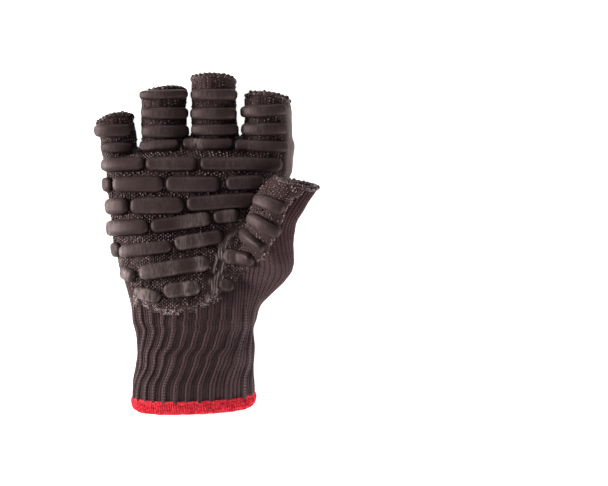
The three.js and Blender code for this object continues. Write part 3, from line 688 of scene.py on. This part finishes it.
def wound_yarn():
    """A Geometry Nodes tree that winds a yarn round a closed line, in turns across its section."""
    tree, (line, turns, steps, radius, uneven, lean, seed, finish) = new_tree(
        "wound_yarn", Line="Geometry", Turns=30, Steps_per_turn=14, Yarn_radius=0.0005,
        Uneven=0.3, Lean=0.5, Seed=1.0, Finish="Material",
    )
    curve = line.add("GeometryNodeMeshToCurve", None, {0: line})
    even = line.add("GeometryNodeResampleCurve", None, {"Curve": curve, "Count": turns * steps})
    angle = line.add("GeometryNodeSplineParameter", out="Factor") * turns * (2 * math.pi)
    start = line.add("CombineXYZ", None, {0: seed})
    at = line.add("GeometryNodeInputPosition")
    drift = line.add("VectorMath", {"operation": "ADD"}, {0: at, 1: start})
    reach = (drift.noise(260) - 0.5) * uneven * 2.0 + 1.0
    ways = []
    for label, amount in (("outward", angle.of("COSINE")), ("upward", (angle + lean).of("SINE"))):
        way = line.add("GeometryNodeInputNamedAttribute", {"data_type": "FLOAT_VECTOR"}, {"Name": label})
        ways.append(line.add("VectorMath", {"operation": "SCALE"}, {0: way, "Scale": amount * reach}))
    offset = line.add("VectorMath", {"operation": "ADD"}, dict(enumerate(ways)))
    wound = line.add("GeometryNodeSetPosition", None, {"Geometry": even, "Offset": offset})
    ring = line.add("GeometryNodeCurvePrimitiveCircle", None, {"Resolution": 6, "Radius": radius})
    end_tree(line.add("GeometryNodeCurveToMesh", None, {"Curve": wound, "Profile Curve": ring}), finish)
    return tree


winding = wound_yarn()


def wind(name, centres, outward, upward, **inputs):
    """Yarn wound round a closed line: the two ways of its section are as long as its half-axes."""
    mesh = bpy.data.meshes.new(name)
    count = len(centres)
    joins = [(i, (i + 1) % count) for i in range(count)]
    mesh.from_pydata(((centres - MIDDLE) / 1000).tolist(), joins, [])
    mark(mesh, "outward", outward / 1000)
    mark(mesh, "upward", upward / 1000)
    return grown(name, mesh, winding, **inputs)


def tube(name, centres, outward, upward, sides, squareness=2):
    """A closed ring of flattened round section."""
    points, faces, uv = [], [], []
    for i, (centre, first, second) in enumerate(zip(centres, outward, upward)):
        for j in range(sides):
            out, up = superellipse(j / sides * 2 * math.pi, squareness)
            points.append(centre + first * out + second * up)
            k, after = (j + 1) % sides, (i + 1) % len(centres)
            faces.append((i * sides + j, i * sides + k, after * sides + k, after * sides + j))
            uv += [(i, j), (i, j + 1), (i + 1, j + 1), (i + 1, j)]
    return mesh_of(name, points, faces, uv)


def yarn_finish(name, dark, light, glint, scale, **constants):
    material, shader, place = new_finish(name, **constants)
    # painted glints: pale flecks of the fleck colour; on the edge yarn they are the rubber caught in it,
    # painted pale for its gloss
    glint_flecks = place.noise(900, 2, 0.7).step(0.57, 0.67)
    plain = place.noise(scale, 3).step(0.3, 0.75).mix(dark, light)
    relief = place.noise(scale * 1.6, 3).bump(0.6, 0.0003)
    feed(shader, Base_Color=glint_flecks.mix(plain, glint), Normal=relief)
    return material


edge_yarn = yarn_finish(
    "edge_yarn", (0.008, 0.0035, 0.0035), (0.046, 0.027, 0.027), (0.28, 0.215, 0.21), 900,
    Roughness=0.5, Specular_IOR_Level=0.3, Specular_Tint=WARM,
)
GAP = 0.3  # between the solids of two pieces
ROLL = 1.35  # half the height of a finger's rim
for seed, (part, (ring, below)) in enumerate(tube_ends.items()):
    along, out = unit(cage[ring] - cage[below]), skin_out[ring]
    out = unit(out - along * (along * out).sum(1)[:, None])
    coarse = (cage[ring] - out * KNIT / 2 + along * (GAP + ROLL), out, along)
    # the rim's places lie two wales apart, so they are eased to four times as many
    fine_ring, ticks = np.arange(0, len(ring), 0.25), np.arange(-2, len(ring) + 2)
    centres, outward, upward = (
        place_at(fine_ring, ticks, np.concatenate([v[-2:], v, v[:2]])) for v in coarse
    )
    for _ in range(3):
        centres = (np.roll(centres, 1, 0) + 2 * centres + np.roll(centres, -1, 0)) / 4
    jog = 0.5 * lump(centres, 3.2, 11.0 + seed)[:, None]
    centres = centres + upward * jog * 0.5 + outward * jog * 0.5
    core = tube(part + "_roll", centres - upward * 0.5, outward * 1.8, upward * 1.6, 12)
    yarn = wind(
        part + "_yarn", centres - upward * 0.4, outward * ROLL, upward * 1.05,
        Turns=int(len(ring) * 1.8), Yarn_radius=0.00092, Uneven=1.3, Lean=0.9, Seed=seed * 0.37,
        Finish=edge_yarn,
    )
    add_piece("rim_" + part, core, edge_yarn, "edge_yarn", part + "_edge")
    add_piece("overcast_" + part, yarn, edge_yarn, "edge_yarn")

# The red hem. The wrist's edge is overlocked all round with bright red yarn, close turns over the
# cut edge, and the colour marks the size.
RED = (1.0, 0.12, 0.14, 1.0)
hem_yarn = yarn_finish(
    "hem_yarn", (0.32, 0.011, 0.022), (0.76, 0.040, 0.058), (0.85, 0.064, 0.075), 700,
    Roughness=0.8, Specular_IOR_Level=0.08, Specular_Tint=RED, Sheen_Weight=0.15, Sheen_Tint=RED,
)
HEM_PLACES = 120
HEM_DROP = GAP + 3.35  # from the knit's edge to the middle of the hem
HEM_LOWEST = 2.7  # so that the yarn lies on the table and not in it
_, left, right, top, _ = CUFF_ROWS[-1]
at = section(0, left + 2.0, right - 2.0, top - 1.8, WRIST_COLUMNS)
centres, outward = [], []
for i in range(HEM_PLACES):
    k = i / HEM_PLACES * WRIST_COLUMNS
    x, _, z = at(k)
    y = hem_height(x, z, left, right, top) - HEM_DROP
    centres.append(np.array([x, y, max(z, HEM_LOWEST)]))
    outward.append(unit(np.cross([0, 1.0, 0], at(k + 0.5) - at(k - 0.5))))
centres, outward = np.array(centres), np.array(outward)
upward = np.tile([0, 1.0, 0], (HEM_PLACES, 1))
# the turns close over the wrist's edge, so no light comes through between the two
core = tube("hem_roll", centres + [0, 1.1, 0], outward * 1.6, upward * 3.4, 14, 10 / 3)
yarn = wind(
    "hem_yarn_turns", centres, outward * 1.7, upward * 2.95,
    Turns=132, Yarn_radius=0.00066, Uneven=0.2, Lean=0.35, Seed=4.0, Finish=hem_yarn,
)
add_piece("hem_roll", core, hem_yarn, "hem_yarn", "cuff_hem")
add_piece("hem_overlock", yarn, hem_yarn, "hem_yarn")

# The rubber coat. The palm side is dipped in thin dark rubber, which soaks into the knit and keeps
# its stitches showing, runs up the fingers and the thumb, and ends in a ragged edge at the heel.
COAT_EDGE = [
    (-46, -13.0), (-41.2, -17.6), (-37.4, -21), (-36.4, -26.2), (-31.6, -29.8), (-26.2, -33.4),
    (-19.2, -36.6), (-12.2, -36.8), (-2.9, -35.4), (3.2, -34.2), (8.2, -32.2), (15.9, -27.4),
    (23.6, -21.6), (28.2, -16), (32.4, -11.4), (38.2, -8.7), (42.8, -5.4), (44.8, 1.7),
    (48.8, 7.4), (51.6, 14.2), (54.5, 22), (60, 27.4), (80, 34),
]
edge_x, edge_y = np.array(COAT_EDGE, float).T
slope = np.interp(skin_x, edge_x, np.gradient(edge_y, edge_x))
above_edge = (skin_y - np.interp(skin_x, edge_x, edge_y)) / np.sqrt(1 + slope**2)
ragged = 0.9 * lump(skin_points, 4.0, 21.0) + 0.7 * lump(skin_points, 1.6, 22.0)
inside = np.minimum(skin_side, above_edge) + ragged
cover = eased(ramp(inside, -0.42, 0.98))
creases = 0.25 * lump(skin_points * [1, 0.35, 1], 3.2, 31.0)
# folds down the hollow beside the thumb: offset, height, and the stretch of the palm they cover
FOLDS = [
    (-3.6, 0.7, -33, -12), (-2.1, 0.9, -34, 4), (-0.6, 0.8, -31, 8),
    (0.9, 1.0, -34, 9), (2.4, 0.8, -27, 9), (4.0, 0.8, -24, 5),
]
FOLD_WIDTH = 0.48


def from_hollow(points):
    """How far to the right of the hollow beside the thumb points lie."""
    middle = np.interp(points[:, 1], (-34, -20, -3, 4, 10), (10.3, 12.6, 15.6, 18.8, 23.2))
    return points[:, 0] - middle


fold_line = from_hollow(skin_points) + 0.7 * lump(skin_points * [0.2, 1, 1], 7.0, 33.0)
folded = np.zeros(len(skin_points))
for offset, height, low, high in FOLDS:
    reach = ramp(skin_y, low, low + 4) * ramp(skin_y, high, high - 4)
    broken = np.clip(0.75 + 1.3 * lump(skin_points * [0.1, 1, 0], 5.0, 40.0 + offset), 0, 1)
    fold = np.exp(-(((fold_line - offset) / FOLD_WIDTH) ** 2))
    folded = np.maximum(folded, height * reach * broken * fold)
creases = creases + folded
# rubber lies thick and smooth down the outer side of the index finger
smear = ramp(skin_x, 50.8, 52.2) * ramp(skin_y, 38, 43) * ramp(skin_z, 5, 9) * ramp(skin_y, 83, 77)
raised = lerp(-0.5, 0.62, cover) + creases * cover + 1.4 * smear
near = (inside > -2.5)[skin_faces].any(1) & (face_part != "cuff")
coat_mesh = wall(
    "palm_coating", near, wales * 0.3 * (1 - smear) + uneven + raised, uneven - 0.9,
    inside=ramp(inside, 0, 6), smear=smear, fold=folded,
)

rubber_coat, shader, place = new_finish("rubber_coat", Specular_IOR_Level=0.26, Specular_Tint=WARM)
_, loop = stitches(place, 0.38)
grain, cloud, smooth = place.noise(1500, 3), place.noise(60, 3), place.marked("smear")
thin_edge = (1 - place.marked("inside").step(0.03, 0.16)) * grain.step(0.48, 0.62) * cloud.step(0.3, 0.55)
# random tone, with the stitch tops painted a little lighter as painted highlights
tone_and_highlight = (loop * 0.25 + grain * 0.8 + cloud * 0.6 - 0.5).clamp()
plain = tone_and_highlight.mix((0.0160, 0.0072, 0.0068), (0.036, 0.0190, 0.0178))
# the smooth smear is lighter rubber, and the fold ridges are painted pale as painted highlights along the
# creases
smear_and_fold_highlight = (smooth * 0.3 + place.marked("fold") * 1.6).clamp().mix(plain, (0.230, 0.182, 0.172))
feed(
    shader,
    Base_Color=thin_edge.mix(smear_and_fold_highlight, (0.34, 0.28, 0.27)),
    Roughness=0.68 - grain.step(0.45, 0.7) * 0.3,
    Normal=((loop * 0.4 + grain * 0.6) * (1 - smooth * 0.85)).bump(0.8, 0.0006),
)
add_piece("glove_palm_coating", coat_mesh, rubber_coat, "coating", "palm_coating")

# The impact pads. Each is a moulded bar of soft dark rubber with round ends and a round top, set on
# the coat in rows like bricks, so that the hand still bends between them.
PAD_HEIGHT = 4.2
PAD_SINK, PAD_LIFT = -1.0, 0.62  # where its foot and the rest of it start, from the skin
PAD_STEP = 0.4  # between places of a walk over the skin
# middle, turn in degrees, length and width, and for two that turn away at the little finger's side
# how low their left end may face and their share of the full height
PADS = {
    "little": [(-47.4, 66.8, -1, 22.2, 7.5), (-45.3, 56.9, -1, 19.1, 6.5)],
    "ring": [(-18.3, 87.4, 2, 28.3, 5.4), (-17.5, 76.6, 0, 27.3, 7.1), (-17.3, 65.9, 0, 27.7, 7.7)],
    "middle": [(11.3, 87.3, 0, 27.2, 6.6), (11, 76.2, 0, 27.3, 7.3), (11.6, 66.9, 0, 27.7, 6.8)],
    "index": [(40.4, 78, 4, 26.7, 7), (40.7, 67.3, 2, 27.2, 7.3)],
    "row_4": [(-20.2, 56.9, 0, 24, 6.4), (7.8, 57.5, 0, 30.2, 6.6), (38.6, 56.8, 0, 32, 6.7)],
    "row_5": [(-41.5, 46.4, 0, 25.9, 8.6), (-12.9, 46.3, 0, 30.6, 8.6), (27.3, 46.3, 0, 47.9, 7.9)],
    "row_6": [
        (-48.7, 35.2, 0, 1, 8.6, -0.5, 0.7), (-32.3, 35.1, 0, 30.7, 9.2),
        (-0.4, 35.2, 0, 32.5, 9.2), (29.6, 36.2, 3, 23.2, 8.2),
    ],
    "row_7": [(-44.6, 22.5, 0, 14.5, 10), (-21.2, 22.7, 1, 31.8, 9.8), (16.2, 25.1, 4, 42, 8.8)],
    "row_8": [(-38.5, 10, 1, 25.2, 9.3), (-7.4, 12.8, 9, 35.5, 8.2), (18.6, 16.7, 7, 15.8, 7.6)],
    "row_9": [
        (-43.6, -2.4, 6, 1, 8.6, -0.5, 0.7), (-27.8, -2.5, 6, 31.2, 7.4), (3, 2.7, 11, 28.9, 8.2),
    ],
    "row_10": [(-38, -16.4, -24, 9.3, 7.2), (-10.9, -13.2, 9, 42, 8.9)],
    "row_11": [(-26.4, -28.2, -16, 16.4, 7), (-6.4, -25.4, 7, 22.6, 8.6)],
    "thumb": [
        (44, 23, -20, 19, 7.6), (41.4, 11.5, -28, 21.5, 7.6), (32, 5.2, -36, 25, 7.4),
        (25.2, -7.2, -5, 17.5, 8.6), (18.9, -23.3, -6, 9.6, 7.4),
    ],
}
# across the bar and up it, from one foot over the top to the other
PAD_SECTION = [(-1, 0), (-1.01, 0.12), (-1.0, 0.42), (-0.94, 0.66), (-0.83, 0.83), (-0.66, 0.94)]
PAD_SECTION += [(-0.42, 0.99), (-0.15, 1.0)]
PAD_SECTION += [(-u, v) for u, v in reversed(PAD_SECTION)]
# painted highlights on the pads: place along the pad, half-width and strength; every other pad has a faint
# one
PAD_HIGHLIGHTS = {
    "little_pad_1": [(0.12, 0.12, 0.4)],
    "row_5_pad_1": [(0.1, 0.14, 0.4)],
    "row_6_pad_2": [(0.04, 0.05, 0.5)],
    "row_7_pad_1": [(0.2, 0.28, 0.45)],
    "row_8_pad_1": [(0.1, 0.2, 0.7)],
    "row_9_pad_2": [(0.05, 0.1, 0.7), (0.45, 0.3, 0.2)],
    "row_4_pad_2": [(0.3, 0.12, 0.7)],
    "row_8_pad_2": [(0.62, 0.13, 0.45), (0.85, 0.1, 0.4)],
    "row_8_pad_3": [(0.6, 0.2, 0.5)],
    "row_9_pad_3": [(0.2, 0.16, 0.5), (0.5, 0.1, 0.4)],
    "row_10_pad_1": [(0.35, 0.4, 1.0)],
    "row_10_pad_2": [(0.04, 0.06, 0.6), (0.2, 0.12, 0.4), (0.45, 0.1, 0.4), (0.84, 0.06, 1.0)],
    "row_11_pad_1": [(0.4, 0.35, 1.0)],
    "row_11_pad_2": [(0.2, 0.15, 0.35), (0.62, 0.1, 1.0), (0.86, 0.05, 0.5)],
    "thumb_pad_4": [(0.15, 0.12, 0.5)],
}
FAINT_HIGHLIGHT = [(0.4, 0.25, 0.14)]


def on_palm_side(part, column):
    columns = COLUMNS.get(part, FINGER_COLUMNS)
    rolled = part in ("palm", "index") and column == columns - 1
    return rolled or (part != "cuff" and column < columns // 2)


palm_patches = [on_palm_side(part, column) for _, _, part, column in patches]
palm_faces = skin_faces[np.repeat(palm_patches, per_patch)]
palm_tree = BVHTree.FromPolygons([Vector(p) for p in skin_points], palm_faces.tolist())


def nearest(p):
    """The nearest place on the palm side of the skin, and the smooth way outwards there."""
    at, _, face, _ = palm_tree.find_nearest(Vector(p))
    at = np.array(at)
    corners = palm_faces[face]
    weight = 1 / (np.linalg.norm(skin_points[corners] - at, axis=1) ** 2 + 0.02)
    return at, unit((skin_out[corners] * weight[:, None]).sum(0))


def walk_skin(start, heading, reach, lowest):
    """Goes over the skin in an upright plane until it has gone far enough or the skin turns away."""
    across = np.array([-heading[1], heading[0], 0])
    trail, steepest = [nearest(start)], -1.0
    while len(trail) < 180:
        at, out = trail[-1]
        ahead, turn = nearest(at + unit(heading - out * (heading @ out)) * PAD_STEP)
        ahead = ahead - across * ((ahead - start) @ across)
        gone, turned = (ahead - start) @ heading, turn @ heading
        if gone + turned * PAD_HEIGHT * 0.7 > reach or turn[2] < lowest or turned < steepest - 0.55:
            break
        steepest = max(steepest, turned)
        if np.linalg.norm(ahead - at) < 0.12:
            break
        trail.append((ahead, turn))
    return trail


def ease_line(values, times):
    for _ in range(times):
        values[1:-1] = (values[:-2] + values[1:-1] * 2 + values[2:]) / 4


def pad_mesh(name, x, y, turn, length, width, lowest=None, height=1.0):
    """One pad: its section swept along its walk over the skin, drawn in to its round ends."""
    heading = np.array([math.cos(math.radians(turn)), math.sin(math.radians(turn)), 0])
    top = np.array(palm_tree.ray_cast(Vector((x, y, 200)), Vector((0, 0, -1)))[0])
    right = walk_skin(top, heading, length / 2, 0.02)
    left_limits = (length / 2, 0.02) if lowest is None else (1e9, lowest)
    trail = walk_skin(top, -heading, *left_limits)[:0:-1] + right
    at, out = (np.array(v) for v in zip(*trail))
    ease_line(out, 6)
    ease_line(at, 6)
    distance = lengths(at)
    total = distance[-1]
    end = min(width * 0.5, total * 0.46)
    share = np.array([0.012, 0.06, 0.14, 0.25, 0.4, 0.58, 0.78, 1.0])
    inner_count = max(1, round((total - 2 * end) / 1.3))
    middles = np.linspace(end, total - end, inner_count + 1)[1:]
    stations = np.concatenate([share * end, middles, total - share[-2::-1] * end])
    fifths = (-1, -0.5, 0, 0.5, 1)
    frames, lies = [], []
    for s in stations:
        place, up = place_at(s, distance, at), unit(place_at(s, distance, out))
        ahead = place_at(min(s + 0.5, total), distance, at) - place_at(max(s - 0.5, 0), distance, at)
        over = unit(np.cross(up, ahead))
        from_end = min(s, total - s)
        narrow = (1 - (1 - min(from_end, end) / end) ** 2.1) ** (1 / 2.1) * width / 2
        low = (1 - (1 - min(1.0, from_end / (width * 0.36))) ** 2.6) ** (1 / 2.6)
        feet = [nearest(place + over * u * narrow)[0] for u in fifths]
        lies.append([np.clip((foot - place) @ up, -1.6, 1.0) for foot in feet])
        frames.append((place, up, over * narrow, low * PAD_HEIGHT * height))
    lies = np.array(lies)
    ease_line(lies, 4)
    points = [
        place + side * u + up * (np.interp(u, fifths, lie) + (PAD_LIFT if v else PAD_SINK) + v * tall)
        for (place, up, side, tall), lie in zip(frames, lies)
        for u, v in PAD_SECTION
    ]
    around, count = len(PAD_SECTION), len(stations)
    faces = []
    for i in range(0, (count - 1) * around, around):
        for j in range(around):
            k = (j + 1) % around
            faces.append((i + j, i + around + j, i + around + k, i + k))
    faces.append(range(around))
    faces.append([(count - 1) * around + j for j in reversed(range(around))])
    mesh = mesh_of(name, points, faces)
    along = np.repeat(stations / total, around)
    ends = np.repeat(ramp(np.minimum(stations, total - stations), 0, width * 0.4), around)
    # painted highlights along the pad
    tone_and_highlight = [
        strength * np.exp(-(((along - middle) / spread) ** 2))
        for middle, spread, strength in PAD_HIGHLIGHTS.get(name, FAINT_HIGHLIGHT)
    ]
    # the top of each bar away from its ends, painted lighter as a painted highlight
    mark(mesh, "crown", np.tile([1 - u**2 for u, _ in PAD_SECTION], count) * ends)
    mark(mesh, "tone_and_highlight", sum(tone_and_highlight))
    return mesh


pad_rubber, shader, place = new_finish("pad_rubber", Specular_IOR_Level=0.35, Specular_Tint=WARM)
bloom, fine_grain = place.noise(70, 4, 0.6), place.noise(1800, 2)
streaks = place.add("Mapping", None, {"Vector": place, "Scale": (2.2, 0.5, 1.0)}).noise(420, 3, 0.6)
# painted highlights: the marked patches, streaked, mixed towards a pale colour
painted_shine = (place.marked("tone_and_highlight") * streaks.step(0.25, 0.7)).clamp()
# random bloom and grain, with the top of each bar painted lighter as a painted highlight
bloom_and_crown_light = bloom * 0.9 + fine_grain * 0.3 + place.marked("crown") * 0.15 + streaks.step(0.45, 0.8) * 0.4
plain = (bloom_and_crown_light - 0.45).clamp().mix((0.0098, 0.0044, 0.0040), (0.031, 0.0186, 0.0170))
feed(
    shader,
    Base_Color=painted_shine.mix(plain, (0.175, 0.138, 0.130)),
    Roughness=0.44 + bloom * 0.22 + fine_grain * 0.08 - painted_shine * 0.15,
    Normal=(fine_grain * 0.5 + place.noise(300, 3) * 0.6 + streaks * 0.8).bump(0.35, 0.0003),
)
pads = []
for row, sizes in PADS.items():
    for i, size in enumerate(sizes):
        name = f"{row}_pad_{i + 1}"
        pads.append(add_piece("rubber_" + name, pad_mesh(name, *size), pad_rubber, "pad", name))


# The stitches under the rubber. Between the pads the coat stays thin, so each stitch of the knit
# stands through it as a small shiny bead, upright and staggered from one wale to the next.
def coated_stitch():
    """A Geometry Nodes tree that sets one bead at every point, turned and sized by its marks."""
    tree, (places, segments, radius, finish) = new_tree(
        "coated_stitch", Places="Geometry", Segments=6, Bead_radius=0.001, Finish="Material"
    )
    sizes = {"Segments": segments, "Rings": 4, "Radius": radius}
    each = {"Points": places, "Instance": places.add("GeometryNodeMeshUVSphere", None, sizes)}
    for label, key in (("turn", "Rotation"), ("size", "Scale")):
        kind = {"data_type": "FLOAT_VECTOR"}
        each[key] = places.add("GeometryNodeInputNamedAttribute", kind, {"Name": label})
    end_tree(places.add("GeometryNodeInstanceOnPoints", None, each), finish)
    return tree


BEAD_WALES = 0.66  # wales from one bead to the next; along the hand it is a course
BEAD_SIZE = np.array([0.42, 0.80, 0.46])  # half-sizes across, along and up
BEAD_LIFT = 0.62  # the middle of a bead over the skin
on_fingers = 58  # how far along the hand the beads of the fingers start
chance = np.random.default_rng(7)
coated = ((inside > 0.9)[skin_faces] & (smear < 0.2)[skin_faces]).all(1) & (face_part != "cuff")
bead_at, bead_out, bead_along = [], [], []
for f in np.flatnonzero(coated):
    (u0, v0), (_, v1), (u2, v2), (u3, v3) = skin_uv[f]
    corners, outs = skin_points[skin_faces[f]], skin_out[skin_faces[f]]
    first = math.ceil(min(u0, u2) / BEAD_WALES)
    for k in range(first, math.floor(max(u0, u2) / BEAD_WALES - 1e-9) + 1):
        s = (k * BEAD_WALES - u0) / (u3 - u0)
        low, high = lerp(v0, v3, s), lerp(v1, v2, s)
        shift = 0.5 * (k % 2)
        first_row, last_row = (math.ceil(v / COURSE - shift) for v in sorted((low, high)))
        for j in range(first_row, last_row):
            t = ((j + shift) * COURSE - low) / (high - low)
            bead_at.append(lerp(lerp(corners[0], corners[3], s), lerp(corners[1], corners[2], s), t))
            bead_out.append(lerp(outs[0], outs[2], 0.5))
            bead_along.append(lerp(corners[1] - corners[0], corners[2] - corners[3], s))
bead_at, bead_out, bead_along = np.array(bead_at), np.array(bead_out), np.array(bead_along)

# no bead under a pad, few in the hollow where the folds run, and fewer on the thumb and fingers
pad_points, pad_faces = [], []
for pad in pads:
    pad_faces += [[len(pad_points) + v for v in face.vertices] for face in pad.data.polygons]
    pad_points += [vertex.co * 1000 + Vector(MIDDLE) for vertex in pad.data.vertices]
over_skin = BVHTree.FromPolygons(pad_points, pad_faces)


def is_free(at, out):
    """Whether a place is clear of the pads beside it, and has none over it."""
    aside = over_skin.find_nearest(Vector(at + out * 1.2))[3]
    return aside > 0.5 and over_skin.ray_cast(Vector(at - out * 2), Vector(out), 9)[0] is None


free = np.array([is_free(at, out) for at, out in zip(bead_at, bead_out)])
in_hollow = (np.abs(from_hollow(bead_at)) < 4.6) & (bead_at[:, 1] < 12)
on_thumb = (bead_at[:, 0] > 26) & (bead_at[:, 2] > 30)
share = np.select([in_hollow, on_thumb, bead_at[:, 1] > on_fingers], [0.12, 0.5, 0.7], 0.93)
free &= chance.random(len(free)) < share
bead_at, bead_out, bead_along = bead_at[free], bead_out[free], bead_along[free]
turns, sizes = [], []
for at, out, along in zip(bead_at, bead_out, bead_along):
    up = Vector(out).normalized()
    across = Vector(along).cross(up).normalized()
    forward = up.cross(across)
    lean = chance.normal(0.0, 0.45)
    c, s = math.cos(lean), math.sin(lean)
    turn = Matrix((across * c + forward * s, forward * c - across * s, up))
    turns.append(turn.transposed().to_euler())
    sizes.append(BEAD_SIZE * chance.uniform(0.65, 1.25, 3) * (0.75 if at[1] > on_fingers else 1.0))
bead_at = bead_at + unit(bead_out) * BEAD_LIFT
places = bpy.data.meshes.new("stitch_beads")
places.from_pydata(((bead_at - MIDDLE) / 1000).tolist(), [], [])
mark(places, "turn", turns)
mark(places, "size", sizes)

coated_yarn, shader, place = new_finish("coated_yarn", Specular_IOR_Level=0.6, Specular_Tint=WARM)
# the beads are painted pale at random, partly their own lighter rubber and partly painted glints
mottle_and_glint = place.noise(260, 2, 0.6)
feed(
    shader,
    Base_Color=mottle_and_glint.step(0.4, 0.68).mix((0.018, 0.009, 0.008), (0.22, 0.172, 0.163)),
    Roughness=0.25 + mottle_and_glint * 0.3,
)
beads = grown("stitch_beads", places, coated_stitch(), Segments=6, Bead_radius=0.001, Finish=coated_yarn)
add_piece("coated_stitches", beads, coated_yarn, "coating")

# Floor, lights and camera: a white table, soft light from the left and above, and the camera
# straight above, as far off and as long as the photograph's.
table, _, _ = new_finish(
    "white_table", Base_Color=(0.8, 0.8, 0.8, 1), Roughness=0.9, Specular_IOR_Level=0.1,
    Emission_Color=(1, 1, 1, 1), Emission_Strength=0.9,
)
floor_mesh = bpy.data.meshes.new("floor")
floor_mesh.from_pydata([(-3, -3, 0), (3, -3, 0), (3, 3, 0), (-3, 3, 0)], [], [(0, 1, 2, 3)])
floor_mesh.materials.append(table)
floor = stand("floor", floor_mesh)

# name, place, size and power
for name, place, size, power in (
    ("left_window", (-1.1, 0.12, 0.33), 0.5, 26),
    ("right_window", (1.0, -0.65, 0.35), 0.5, 14),
    ("far_window", (-0.1, 1.15, 0.5), 0.5, 5),
    ("near_window", (-0.2, -1.2, 0.6), 0.6, 8),
):
    lamp = bpy.data.lights.new(name, "AREA")
    lamp.shape, lamp.size, lamp.energy = "DISK", size, power
    window = stand(name, lamp)
    window.location = place
    window.rotation_euler = (-Vector(place)).to_track_quat("-Z", "Y").to_euler()
world = bpy.data.worlds.new("studio")
bpy.context.scene.world = world
world.use_nodes = True
background = world.node_tree.nodes["Background"]
background.inputs["Color"].default_value = (1, 1, 1, 1)
background.inputs["Strength"].default_value = 0.27

camera = bpy.data.cameras.new("camera")
camera.lens, camera.sensor_width, camera.clip_start = 121.9, 36, 0.05
viewer = stand("camera", camera)
viewer.location = (0.0572, -0.0002, 1.213)
bpy.context.scene.camera = viewer
bpy.context.scene.view_settings.view_transform = "Standard"
